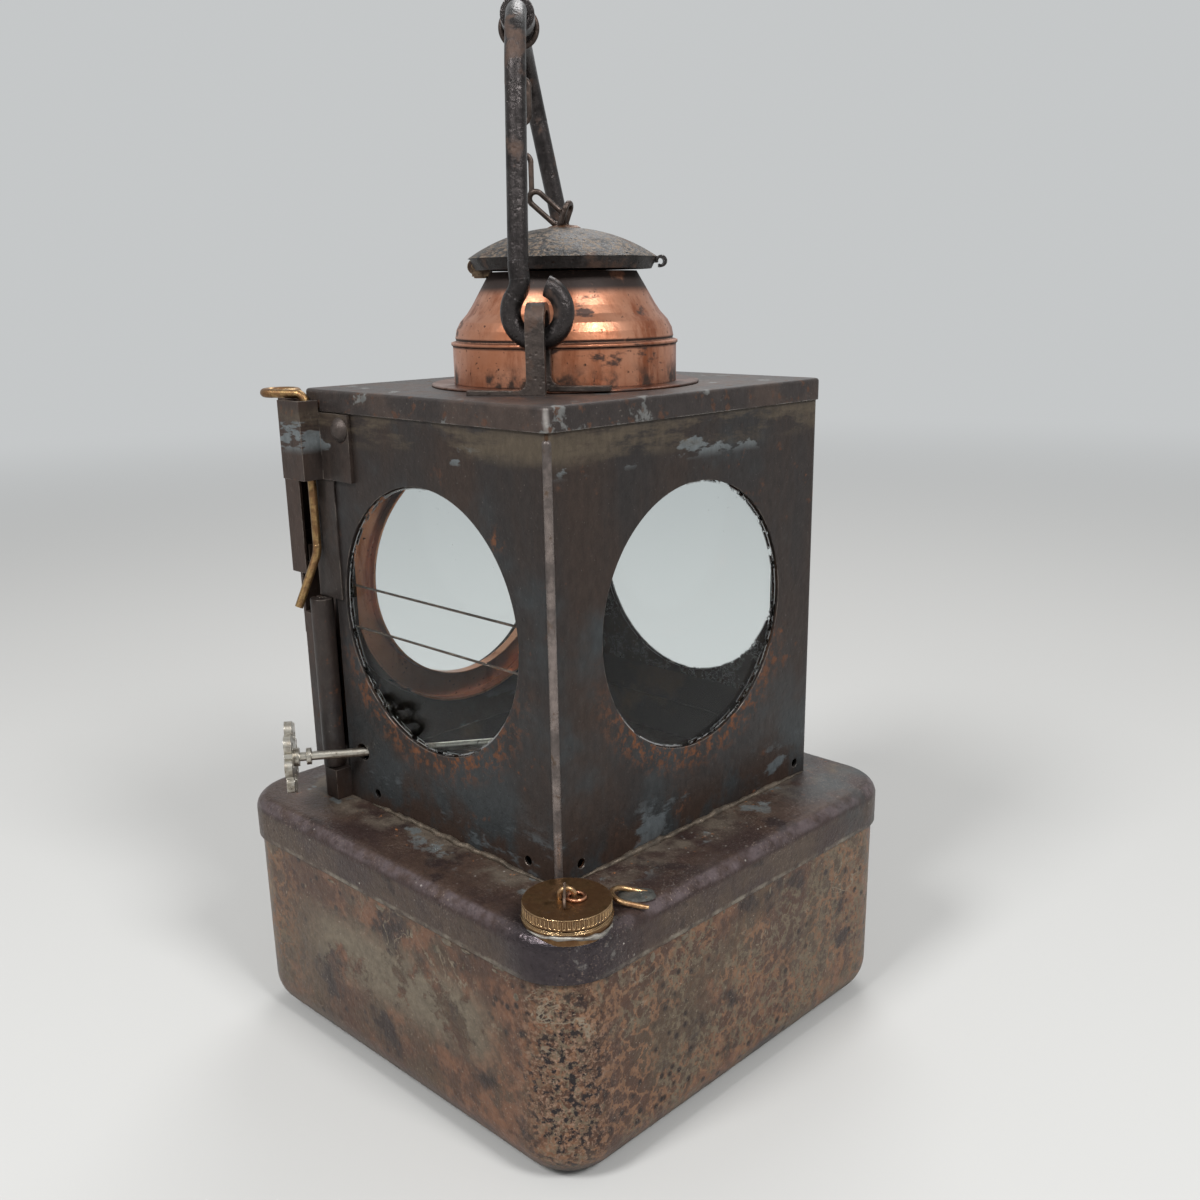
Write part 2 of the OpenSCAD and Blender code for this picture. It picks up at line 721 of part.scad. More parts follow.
// A rounded wire bend at a corner from which unit vectors a and b point away
module wire_corner(corner, a, b, ring_r, wire_r) {
    th = acos(a * b);
    mid = (a + b) / norm(a + b);
    centre = corner + mid * ring_r / sin(th / 2);
    u = (corner + a * ring_r / tan(th / 2) - centre) / ring_r;
    w = (corner + b * ring_r / tan(th / 2) - centre) / ring_r;
    v = (w + u * cos(th)) / sin(th);
    n = cross(u, v);
    multmatrix([[u.x, v.x, n.x, centre.x], [u.y, v.y, n.y, centre.y], [u.z, v.z, n.z, centre.z],
        [0, 0, 0, 1]]) wire_ring(ring_r, wire_r, 180 - th);
}

// Straight wire from one point to another
module wire_run(a, b, wire_r) {
    d = b - a;
    translate(a) rotate([0, acos(d.z / norm(d)), atan2(d.y, d.x)]) straight_wire(norm(d), wire_r);
}

// One half of the bail: open eye, back bend, leg and upper bend
module bail_half(side) {
    ring_end = 62;
    foot = [side * leg_foot.x, leg_foot.y, leg_foot.z];
    top = [side * bail_corner.x, -eye_shift + side * bail_top_half * tan(bail_twist), bail_h];
    down = (foot - top) / norm(foot - top);
    in = (bail_mid - top) / norm(bail_mid - top);
    foot_lap = leg_bend_r / tan(acos(down * [0, 0, 1]) / 2);
    top_lap = bail_bend_r / tan(acos(down * in) / 2);
    translate([foot.x, 0, 0]) rotate([90, 0, 90]) {
        rotate(back_a) wire_ring(eye_r, bail_wire_r, 360 + ring_end - back_a);
        rotate(back_a) translate([eye_r, 0]) rotate([90, 0, 0])
            straight_wire(back_gap, bail_wire_r);
    }
    translate([foot.x, back_y, back_z]) rotate([90, 0, 90]) rotate(back_a - 180)
        wire_ring(back_r, bail_wire_r, 180 - back_a);
    wire_run([foot.x, foot.y, back_z], foot - [0, 0, foot_lap], bail_wire_r);
    wire_corner(foot, [0, 0, -1], -down, leg_bend_r, bail_wire_r);
    wire_run(foot - down * foot_lap, top + down * top_lap, bail_wire_r);
    wire_corner(top, down, in, bail_bend_r, bail_wire_r);
}

module bail_wire() {
    color(steel) at_bail() {
        bail_half(1);
        bail_half(-1);
        wire_run(bail_mid - bar_half * bar_dir, bail_mid + bar_half * bar_dir, bail_wire_r);
    }
}

module bail_grip() {
    sleeve = grip_half - grip_gap / 2;
    color(steel) at_bail() translate(bail_mid) rotate(bail_twist) rotate([0, 90, 0])
        for (z = [-grip_half, grip_gap / 2]) translate([0, 0, z]) difference() {
            cylinder(r = grip_r, h = sleeve, $fn = 48);
            translate([0, 0, -1]) cylinder(r = grip_bore_r, h = sleeve + 2, $fn = 48);
        }
}

// Places children under the middle of the grip, upright
module at_chain() {
    translate([0, house_y, bail_z]) rotate(bail_az)
        translate([0, -bail_h * sin(bail_lean) - eye_shift * cos(bail_lean),
            bail_h * cos(bail_lean) - eye_shift * sin(bail_lean)]) children();
}

module chain_ring() {
    color(steel) at_chain() rotate(bail_twist) translate([0, 0, -chain_ring_drop]) rotate([0, 90, 0])
        wire_ring(chain_ring_r, chain_wire_r);
}

module chain_links() {
    first = chain_ring_drop + chain_ring_r + link_half_in - chain_wire_r - ring_gap;
    color(steel) at_chain() for (i = [0:chain_links_n - 1])
        translate([0, 0, -first - i * chain_pitch]) rotate(i % 2 * 90)
            oval_link(link_half_in, link_half_w, chain_wire_r);
}

// The door is a shallow tray round a lens ring, open towards the lamp house
module door_panel() {
    web_x1 = pin_x - 2.6;
    color(steel) difference() {
        union() {
            translate([door_x0, door_y0, door_z0]) difference() {
                cube([door_depth, door_y1 - door_y0, door_z1 - door_z0]);
                translate([sheet, sheet, sheet]) cube([door_depth, door_y1 - door_y0 - 2 * sheet,
                    door_z1 - door_z0 - 2 * sheet]);
            }
            translate([door_x0, pin_y - 0.5, tube_z0]) cube([sheet, 8.4, web_z1 - tube_z0]);
            translate([door_x0, pin_y - 0.5, tube_z0])
                cube([web_x1 - door_x0, sheet, web_z1 - tube_z0]);
        }
        translate([0, lens_y, window_height]) rotate([0, -90, 0])
            cylinder(r = window_r, h = far, $fn = 96);
        translate([pin_x, pin_y, 0]) cylinder(r = hinge_tube_r - 0.6, h = far, $fn = 48);
    }
}

// Rolled tube along the lower part of the door's hinge edge
module door_hinge_tube() {
    color(steel) translate([pin_x, pin_y, tube_z0]) difference() {
        cylinder(r = hinge_tube_r, h = tube_z1 - tube_z0, $fn = 48);
        translate([0, 0, -eps]) cylinder(r = pivot_bore_r, h = far, $fn = 48);
        translate([-far, -0.5 - eps, -eps]) cube([far - hinge_tube_r + 1.6, sheet + 2 * eps, far]);
    }
}

// Upper hinge knuckle inside the riveted bracket, with the tab that joins the door
module door_knuckle() {
    color(steel) translate([pin_x, pin_y, knuckle_z0]) difference() {
        union() {
            cylinder(r = knuckle_r, h = door_z1 - knuckle_z0, $fn = 48);
            translate([0.4, 0, 0]) cube([2.4, door_y0 - pin_y, door_z1 - knuckle_z0]);
        }
        translate([0, 0, -eps]) cylinder(r = pivot_bore_r, h = far, $fn = 48);
    }
}

// Folded sleeve on the outside of the door
module door_sleeve() {
    sleeve_d = 15;
    color(steel) translate([sleeve_x0, pin_y + 1.6, sleeve_z0]) difference() {
        cube([door_x0 - sleeve_x0, sleeve_d, bracket_z1 - sleeve_z0]);
        translate([sheet, sheet, -eps]) cube([door_x0 - sleeve_x0 + sheet, sleeve_d - 2 * sheet,
            far]);
    }
}

// Thin strip that hangs below the sleeve
module door_tongue() {
    strip_h = 22.4;
    color(steel) translate([sleeve_x0 + sheet + 0.8, pin_y + 3.4, sleeve_z0 - strip_h]) {
        cube([1.2, 10.5, strip_h + 14]);
        translate([0, 0, strip_h + 4]) cube([door_x0 - sleeve_x0 - sheet - 0.8, 10.5, 6]);
    }
}

// Stepped copper ring that holds the lens glass in the door
module lens_ring() {
    x0 = sheet;
    color(copper) translate([door_x0, lens_y, window_height]) rotate([90, 0, 90])
        rotate_extrude($fn = 96) {
            translate([window_r + 2, x0]) square([lens_ring_r - window_r - 2, 0.8]);
            translate([lens_ring_r - 0.9, x0]) square([0.9, 9]);
            translate([window_r + 2, x0 + 3.8]) square([lens_ring_r - window_r - 2, 0.8]);
            translate([window_r - 2, x0 + 3.8]) square([6, 0.8]);
            translate([window_r - 2, x0 + 4.6]) square([0.8, 3]);
        }
}

module door_glass() {
    color(glass, 0.35) translate([door_x0 + sheet + 0.9, lens_y, window_height])
        rotate([0, 90, 0]) cylinder(r = lens_ring_r - 1.4, h = 2.6, $fn = 96);
}

// Strap riveted to the front wall that wraps the upper knuckle
module hinge_bracket() {
    t = 1.5;
    front = 6.3;
    wall_x1 = jamb_x + 15.5;
    color(steel) translate([0, 0, bracket_z0]) {
        linear_extrude(bracket_z1 - bracket_z0) translate([pin_x, pin_y]) {
            translate([-6.9, -front]) square([t, front]);
            translate([-6.9, -front]) square([6.9 + 5.6, t]);
            translate([5.6 - t, -front]) square([t, front + 1]);
        }
        linear_extrude(roof_under - 0.3 - bracket_z0)
            translate([pin_x + 5.6 - t, front_y - t]) square([wall_x1 - pin_x - 5.6 + t, t]);
    }
}

module bracket_rivet() {
    color(steel) translate([jamb_x + 11.1, front_y - 1.5, roof_under - 5.2]) rotate([90, 0, 0]) intersection() {
        translate([0, 0, -2.2]) sphere(r = 4.6, $fn = 48);
        cylinder(r = 5, h = 5);
    }
}

// Flat strip on the wall's edge behind the drop pin
module corner_plate() {
    color(steel) translate([pin_x - 3.1, front_y - 0.8, tube_z1 + 0.4])
        cube([jamb_x + 4.2 - pin_x + 3.1, 0.8, bracket_z0 - tube_z1 - 0.4]);
}

// Small post on the lid with the stub that the door turns on
module pivot_lug() {
    color(steel) translate([pin_x, pin_y, 0]) {
        translate([0, 0, tank_h]) cylinder(r = 3.7, h = lug_top - tank_h, $fn = 36);
        translate([0, -3.7, tank_h]) cube([5.8, 6.2, lug_top - tank_h]);
        translate([0, 0, lug_top - 1]) cylinder(r = pivot_pin_r, h = 19, $fn = 48);
    }
}

// Brass wire pin with a flat eye to pull it by and a bent lower end
module drop_pin() {
    turn_r = 3;
    handle_az = 205;
    handle_len = 9.4;
    pull_r = 5.3;
    handle_z = bracket_z1 + pivot_pin_r + 0.4;
    bend_r = 12;
    bend_a = 24;
    bend_az = 255;
    bend_z = bracket_z0 - 22.5;
    tail = 17;
    color(brass) translate([pin_x, pin_y, 0]) {
        translate([0, 0, bend_z]) straight_wire(handle_z - turn_r - bend_z, pivot_pin_r + wire_step);
        rotate(bend_az) {
            translate([bend_r, 0, bend_z]) rotate([-90, 0, 0]) rotate(180 - bend_a)
                wire_ring(bend_r, pivot_pin_r + wire_step, bend_a);
            translate([bend_r * (1 - cos(bend_a)), 0, bend_z - bend_r * sin(bend_a)])
                rotate([0, 180 - bend_a, 0]) straight_wire(tail, pivot_pin_r + wire_step);
        }
        rotate(handle_az) {
            translate([turn_r, 0, handle_z - turn_r]) rotate([90, 0, 0]) rotate(90)
                wire_ring(turn_r, pivot_pin_r + wire_step, 90);
            translate([turn_r, 0, handle_z]) rotate([0, 90, 0])
                straight_wire(handle_len, pivot_pin_r + wire_step);
            translate([turn_r + handle_len, -pull_r, handle_z]) rotate(90) mirror([0, 1, 0])
                wire_ring(pull_r, pivot_pin_r + wire_step, 312);
        }
    }
}

// Brass ring soldered into the lid for the burner
module burner_collar() {
    color(brass) translate([burner_x, burner_y, tank_h]) rotate_extrude() {
        translate([collar_r - 2.6, 0]) square([2.6, 4]);
        translate([collar_r, 0]) square([2.6, 0.8]);
    }
}

// Turned brass base of the burner
module burner_base() {
    base_z = 4.2;
    color(brass) at_burner(tank_h) difference() {
        union() {
            cylinder(r = collar_r - 2.7, h = base_z);
            translate([0, 0, base_z]) cylinder(r = collar_r - 0.4, h = 2);
            translate([0, 0, base_z + 2]) cylinder(r = collar_r - 2.4, h = 1.4);
        }
        translate([-wick_w / 2 - 1, -wick_t / 2 - 0.9, -1]) cube([wick_w + 2, wick_t + 1.8, 20]);
    }
}

// Flat tube that guides the wick, cut open for the spur wheels
module wick_tube() {
    wall = 0.6;
    slot = 0.25;
    inner_w = wick_w + 2 * slot;
    inner_t = wick_t + 2 * slot;
    tube_top = 36;
    color(brass) at_burner(tank_h) difference() {
        translate([-inner_w / 2 - wall, -inner_t / 2 - wall, 0])
            cube([inner_w + 2 * wall, inner_t + 2 * wall, tube_top]);
        translate([-inner_w / 2, -inner_t / 2, -1]) cube([inner_w, inner_t, tube_top + 2]);
        translate([-4.6, 0, spindle_z - spur_r - 0.6]) cube([9.2, 6, 2 * spur_r + 1.2]);
    }
}

// Perforated skirt and slotted cone over the wick tube
module burner_cone() {
    skirt_z = 6.2;
    cone_z = 26;
    top_z = 38.5;
    top_r = 8.3;
    wall = 0.7;
    color(brass) at_burner(tank_h) difference() {
        rotate_extrude() polygon([[collar_r - 1.2, skirt_z], [collar_r - 1.2, cone_z],
            [top_r, top_z], [top_r - wall, top_z - wall * 0.3], [collar_r - 1.2 - wall, cone_z - 0.3],
            [collar_r - 1.2 - wall, skirt_z]]);
        for (i = [0:11]) rotate(i * 30 + 15) translate([0, 0, skirt_z + 4]) rotate([0, 90, 0])
            cylinder(r = 1.5, h = 20, $fn = 24);
        translate([0, spindle_shift, spindle_z]) rotate([0, 90, 0])
            cylinder(r = spindle_r + 0.5, h = 20, $fn = 36);
    }
}

module wick() {
    color("#d8cfb8") at_burner(0) translate([-wick_w / 2, -wick_t / 2, 20])
        cube([wick_w, wick_t, wick_top - 20]);
}

module winder_spindle() {
    color("#b9b5aa") at_burner(spindle_height) translate([0, spindle_shift, 0]) {
        rotate([0, 90, 0]) {
            translate([0, 0, -8]) cylinder(r = spindle_r, h = wheel_out + 8, $fn = 36);
            translate([0, 0, wheel_out - 6]) cylinder(r = 2.9, h = 1.6, $fn = 36);
        }
    }
}

// Scalloped hand wheel with round piercings
module winder_wheel() {
    petals = 8;
    t = 2.6;
    color("#b9b5aa") at_burner(spindle_height) translate([wheel_out - 0.4, spindle_shift, 0])
        rotate([0, 90, 0]) difference() {
            union() {
                linear_extrude(t) difference() {
                    union() {
                        circle(winder_r - 2.6);
                        for (i = [0:petals - 1]) rotate(i * 360 / petals)
                            translate([winder_r - 3.3, 0]) circle(3.3, $fn = 32);
                    }
                    for (i = [0:petals - 1]) rotate(i * 360 / petals)
                        translate([winder_r - 5.2, 0]) circle(1.8, $fn = 24);
                }
                translate([0, 0, -1.6]) cylinder(r = 3.2, h = t + 2.4, $fn = 36);
            }
            translate([0, 0, -3]) cylinder(r = spindle_r, h = 4.6, $fn = 36);
        }
}

// Two spur wheels on the spindle that drive the wick
module spur_wheels() {
    teeth = 12;
    color(brass) at_burner(spindle_height) translate([0, spindle_shift, 0]) for (x = [-3.4, 1.8])
        translate([x, 0, 0]) rotate([0, 90, 0]) linear_extrude(1.6) difference() {
            union() {
                circle(spur_r - 0.7, $fn = 36);
                for (i = [0:teeth - 1]) rotate(i * 360 / teeth)
                    translate([spur_r - 1.2, 0]) polygon([[0, -0.5], [1.2, 0], [0, 0.5]]);
            }
            circle(spindle_r, $fn = 36);
        }
}

tank_shell();
tank_lid();
filler_neck();
filler_washer();
filler_cap();
filler_eye();
filler_ring();
filler_link();
lid_staple();
house_shell();
corner_seam();
inner_ledge();
glass_guides();
front_glass();
side_glass();
rear_glass();
retaining_wires();
roof_plate();
chimney_foot();
chimney_body();
cap_hinge_lug();
cap_hinge_pin();
chimney_cap();
cap_hinge_strap();
cap_loop();
cap_link();
bail_bracket_front();
bail_bracket_rear();
bail_wire();
bail_grip();
chain_ring();
chain_links();
door_panel();
door_hinge_tube();
door_knuckle();
door_sleeve();
door_tongue();
lens_ring();
door_glass();
hinge_bracket();
bracket_rivet();
corner_plate();
pivot_lug();
drop_pin();
burner_collar();
burner_base();
wick_tube();
burner_cone();
wick();
winder_spindle();
winder_wheel();
spur_wheels();
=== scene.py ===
# Looks of the square railway lamp: worn paint, rust, solder, copper, brass, glass,
# studio light and the photograph's camera. Metres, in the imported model's frame.

import math
import random

import bmesh
import bpy
from mathutils import Matrix, Vector, noise


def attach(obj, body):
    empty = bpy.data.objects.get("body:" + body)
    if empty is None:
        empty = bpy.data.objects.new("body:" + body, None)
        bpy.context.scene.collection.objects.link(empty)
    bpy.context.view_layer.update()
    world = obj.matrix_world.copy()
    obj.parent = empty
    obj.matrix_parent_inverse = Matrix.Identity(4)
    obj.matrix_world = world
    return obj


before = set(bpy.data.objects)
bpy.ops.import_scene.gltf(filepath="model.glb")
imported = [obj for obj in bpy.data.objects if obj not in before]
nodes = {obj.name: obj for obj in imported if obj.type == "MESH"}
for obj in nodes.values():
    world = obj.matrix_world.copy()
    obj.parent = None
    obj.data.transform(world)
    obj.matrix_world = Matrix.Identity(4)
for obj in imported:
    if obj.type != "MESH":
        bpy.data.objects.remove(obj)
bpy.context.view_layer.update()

# Sizes of the lamp that the looks refer to
TANK_TOP = 0.0845
SKIRT_FOOT = 0.0698
HOUSE_X = 0.0575
HOUSE_FRONT = -0.0595
HOUSE_REAR = 0.0675
HOUSE_MID = 0.004
ROOF_UNDER = 0.2195
ROOF_TOP = 0.2265
WINDOW_Z = 0.1561
WINDOW_R = 0.0432
CHIMNEY_BEAD = 0.0137
CHIMNEY_TOP = 0.0354
CAP_TOP = 0.2755
FILLER = Vector((0.0707, -0.0689, TANK_TOP))

# Camera, fitted to the photograph
CAMERA_AT = (0.298755, -0.285529, 0.2566)
CAMERA_AZ = 44.15
CAMERA_EL = 16.613
CAMERA_ROLL = -0.867
CAMERA_LENS = 36.656
CAMERA_SHIFT = (-0.00657, 0.04377)

# Studio: colours of the surround and the floor, and where the floor fades into the surround
BACKDROP = (0.56, 0.575, 0.58)
FILL = 0.38
FLOOR_COLOR = (0.52, 0.52, 0.51)
FLOOR_RADIUS = 9.0
FADE_FROM = 0.35
FADE_TO = 2.2

# Lamps: name, bearing and height in degrees, distance, width of the disk, watts
LAMPS = (
    ("lamp_left", 2, 44, 1.5, 0.42, 17),
    ("lamp_right", 84, 42, 1.5, 0.42, 16),
    ("lamp_back", 215, 50, 1.6, 0.8, 8),
)
LAMP_TARGET = Vector((0, 0, 0.15))


# Camera

def make_camera():
    az = math.radians(CAMERA_AZ)
    el = math.radians(CAMERA_EL)
    roll = math.radians(CAMERA_ROLL)
    back = Vector((math.sin(az) * math.cos(el), -math.cos(az) * math.cos(el), math.sin(el)))
    right = Vector((math.cos(az), math.sin(az), 0))
    up = back.cross(right)
    across = right * math.cos(roll) + up * math.sin(roll)
    upward = up * math.cos(roll) - right * math.sin(roll)
    data = bpy.data.cameras.new("camera")
    data.sensor_width = 36
    data.lens = CAMERA_LENS
    data.shift_x, data.shift_y = CAMERA_SHIFT
    data.clip_start = 0.01
    camera = bpy.data.objects.new("camera", data)
    turn = Matrix((across, upward, back)).transposed().to_4x4()
    camera.matrix_world = Matrix.Translation(CAMERA_AT) @ turn
    bpy.context.scene.collection.objects.link(camera)
    bpy.context.scene.camera = camera


# Finishes: a base surface with layers of colour, gloss and relief over it

class Finish:
    """A layered surface. Masks are sockets from 0 to 1, lengths are metres."""

    def __init__(self, name, color, rough, metal=0.0, edge=0.0006):
        self.mat = bpy.data.materials.new(name)
        self.mat.use_nodes = True
        self.tree = self.mat.node_tree
        self.tree.nodes.clear()
        self.color = (*color, 1)
        self.rough = rough
        self.metal = metal
        self.height = None
        self.shader = self.add("BsdfPrincipled")
        self.pos = self.add("TexCoord").outputs["Object"]
        self.axes = self.add("SeparateXYZ", {0: self.pos}).outputs
        self.bevel = self.add("Bevel", {"Radius": edge}, samples=4).outputs[0] if edge else None

    def add(self, kind, values=None, **props):
        node = self.tree.nodes.new("ShaderNode" + kind)
        for key, value in props.items():
            setattr(node, key, value)
        for key, value in (values or {}).items():
            if isinstance(value, bpy.types.NodeSocket):
                self.tree.links.new(value, node.inputs[key])
            else:
                node.inputs[key].default_value = value
        return node

    def math(self, op, a, b=0.0):
        return self.add("Math", {0: a, 1: b}, operation=op, use_clamp=op in ("ADD", "MULTIPLY")).outputs[0]

    def step(self, value, low, high):
        """0 below low and 1 above high; the other way round where low is above high."""
        ends = (low, high, 0.0, 1.0) if low < high else (high, low, 1.0, 0.0)
        keys = ("From Min", "From Max", "To Min", "To Max")
        values = dict(zip(keys, ends))
        values["Value"] = value
        return self.add("MapRange", values, interpolation_type="SMOOTHSTEP").outputs[0]

    def both(self, *masks):
        out = masks[0]
        for mask in masks[1:]:
            out = self.math("MULTIPLY", out, mask)
        return out

    def either(self, *masks):
        out = masks[0]
        for mask in masks[1:]:
            out = self.math("MAXIMUM", out, mask)
        return out

    def less(self, mask):
        return self.math("SUBTRACT", 1.0, mask)

    def placed(self, seed, stretch):
        """Position, moved by a seed and squeezed along each axis."""
        shift = Vector((seed * 1.7, seed * 2.3, seed * 3.1))
        return self.add("Mapping", {"Vector": self.pos, "Location": shift, "Scale": stretch}).outputs[0]

    def noise(self, scale, seed, detail=5.0, grain=0.6, stretch=(1, 1, 1), warp=0.0):
        values = {"Vector": self.placed(seed, stretch), "Scale": scale, "Detail": detail,
                  "Roughness": grain, "Distortion": warp}
        return self.add("TexNoise", values).outputs["Fac"]

    def patches(self, scale, seed, low, high, **how):
        return self.step(self.noise(scale, seed, **how), low, high)

    def rings(self, scale, seed, width, warp=0.004):
        """Thin ragged outlines of blotches, as old drips and stains leave."""
        value = self.noise(scale, seed, detail=6, grain=0.62, warp=warp)
        away = self.math("ABSOLUTE", self.math("SUBTRACT", value, 0.5))
        return self.step(away, width, width * 0.3)

    def pits(self, scale, seed, low, high):
        """Small round spots."""
        values = {"Vector": self.placed(seed, (1, 1, 1)), "Scale": scale, "Randomness": 1.0}
        spot = self.add("TexVoronoi", values, feature="F1").outputs["Distance"]
        return self.step(spot, high, low)

    def between(self, axis, low, high, soft):
        value = self.axes[axis]
        return self.both(self.step(value, low - soft, low + soft), self.step(value, high + soft, high - soft))

    def near(self, point, inner, outer, stretch=(1, 1, 1)):
        """1 within inner of a point, 0 beyond outer."""
        shifted = self.add("VectorMath", {0: self.pos, 1: tuple(point)}, operation="SUBTRACT").outputs[0]
        scaled = self.add("VectorMath", {0: shifted, 1: stretch}, operation="MULTIPLY").outputs[0]
        length = self.add("VectorMath", {0: scaled}, operation="LENGTH").outputs["Value"]
        return self.step(length, outer, inner)

    def edges(self, low=0.03, high=0.25):
        """1 on sharp outer and inner edges."""
        normal = self.add("NewGeometry").outputs["Normal"]
        dot = self.add("VectorMath", {0: self.bevel, 1: normal}, operation="DOT_PRODUCT").outputs["Value"]
        return self.step(dot, 1 - low, 1 - high)

    def facing_up(self, low=0.3, high=0.9):
        normal = self.add("NewGeometry").outputs["Normal"]
        z = self.add("SeparateXYZ", {0: normal}).outputs[2]
        return self.step(z, low, high)

    def layer(self, mask, color=None, rough=None, metal=None):
        if color is not None:
            values = {0: mask, 6: self.color, 7: (*color, 1)}
            self.color = self.add("Mix", values, data_type="RGBA").outputs[2]
        if rough is not None:
            self.rough = self.add("Mix", {0: mask, 2: self.rough, 3: rough}).outputs[0]
        if metal is not None:
            self.metal = self.add("Mix", {0: mask, 2: self.metal, 3: metal}).outputs[0]
        return self

    def shade(self, amount, seed, scale=60, **how):
        """Darkens and lightens the colour a little from place to place."""
        value = self.noise(scale, seed, **how)
        gain = self.add("MapRange", {"Value": value, "From Min": 0.3, "From Max": 0.7,
                                     "To Min": 1 - amount, "To Max": 1 + amount}).outputs[0]
        mixed = self.add("Mix", {0: 1.0, 6: self.color, 7: gain}, data_type="RGBA", blend_type="MULTIPLY")
        self.color = mixed.outputs[2]
        return self

    def relief(self, value, depth):
        """Adds a height of so many metres where the mask is 1."""
        part = self.math("MULTIPLY", value, 1.0)
        part = self.add("Math", {0: part, 1: depth}, operation="MULTIPLY").outputs[0]
        if self.height is None:
            self.height = part
        else:
            self.height = self.add("Math", {0: self.height, 1: part}, operation="ADD").outputs[0]
        return self

    def done(self, **extra):
        values = {"Base Color": self.color, "Roughness": self.rough, "Metallic": self.metal,
                  "Specular IOR Level": 0.32}
        values.update(extra)
        for key, value in values.items():
            if isinstance(value, bpy.types.NodeSocket):
                self.tree.links.new(value, self.shader.inputs[key])
            else:
                self.shader.inputs[key].default_value = value
        normal = self.bevel
        if self.height is not None:
            bump = {"Height": self.height, "Strength": 1.0, "Distance": 1.0}
            if normal is not None:
                bump["Normal"] = normal
            normal = self.add("Bump", bump).outputs[0]
        if normal is not None:
            self.tree.links.new(normal, self.shader.inputs["Normal"])
        out = self.add("OutputMaterial")
        self.tree.links.new(self.shader.outputs[0], out.inputs[0])
        return self.mat


# Painted tank body: brown, mottled with rust, stained below the lid

def tank_finish():
    f = Finish("tank_paint", (0.070, 0.034, 0.021), 0.36, 0.2)
    f.layer(f.patches(24, 1, 0.44, 0.60, detail=7), (0.072, 0.046, 0.028), rough=0.34)
    rust = f.both(f.patches(34, 2, 0.48, 0.62, detail=8), f.patches(170, 3, 0.40, 0.6))
    f.layer(rust, (0.150, 0.070, 0.038))
    side = f.either(f.step(f.axes[0], 0.060, 0.080), f.step(f.axes[0], -0.035, -0.075))
    cells = f.both(side, f.rings(130, 4, 0.05), f.patches(26, 5, 0.36, 0.52))
    f.layer(cells, (0.185, 0.098, 0.055), rough=0.5)
    small_cells = f.both(side, f.rings(210, 18, 0.05), f.patches(40, 19, 0.42, 0.56))
    f.layer(small_cells, (0.135, 0.105, 0.070), rough=0.5)
    f.layer(f.patches(52, 6, 0.55, 0.66, detail=7), (0.024, 0.013, 0.010), rough=0.30)
    f.layer(f.both(f.pits(210, 7, 0.12, 0.34), f.patches(26, 8, 0.46, 0.56)), (0.020, 0.011, 0.009))
    corner = f.near((0.082, -0.082, 0.035), 0.008, 0.026, (1, 1, 0.45))
    f.layer(f.both(corner, f.patches(900, 9, 0.50, 0.60, grain=0.7)), (0.230, 0.145, 0.100), rough=0.5)
    f.layer(f.both(corner, f.patches(420, 10, 0.50, 0.60)), (0.016, 0.012, 0.013), rough=0.25)
    high = f.between(2, 0.032, 0.054, 0.006)
    middle = f.both(f.between(0, -0.042, 0.050, 0.014), f.step(f.axes[1], -0.070, -0.078))
    stain = f.both(high, middle, f.patches(34, 11, 0.46, 0.50, detail=12, grain=0.78))
    f.layer(stain, (0.150, 0.122, 0.088), rough=0.55)
    drips = f.both(f.between(2, 0.046, 0.068, 0.006), f.rings(42, 12, 0.010, warp=0.6),
                   f.patches(40, 13, 0.46, 0.56))
    f.layer(drips, (0.20, 0.165, 0.12), rough=0.6)
    foot = f.step(f.axes[2], 0.010, 0.002)
    f.layer(foot, (0.026, 0.018, 0.014), rough=0.6)
    f.layer(f.patches(1400, 14, 0.66, 0.74, detail=2), (0.26, 0.21, 0.16))
    f.shade(0.30, 15, scale=420, grain=0.75)
    f.relief(f.noise(420, 16, grain=0.7), 0.00024).relief(f.noise(70, 17), 0.0006).relief(stain, 0.00008)
    return f.done()


# Lid: purple-brown, glossy at the front corner, gritty beside the house

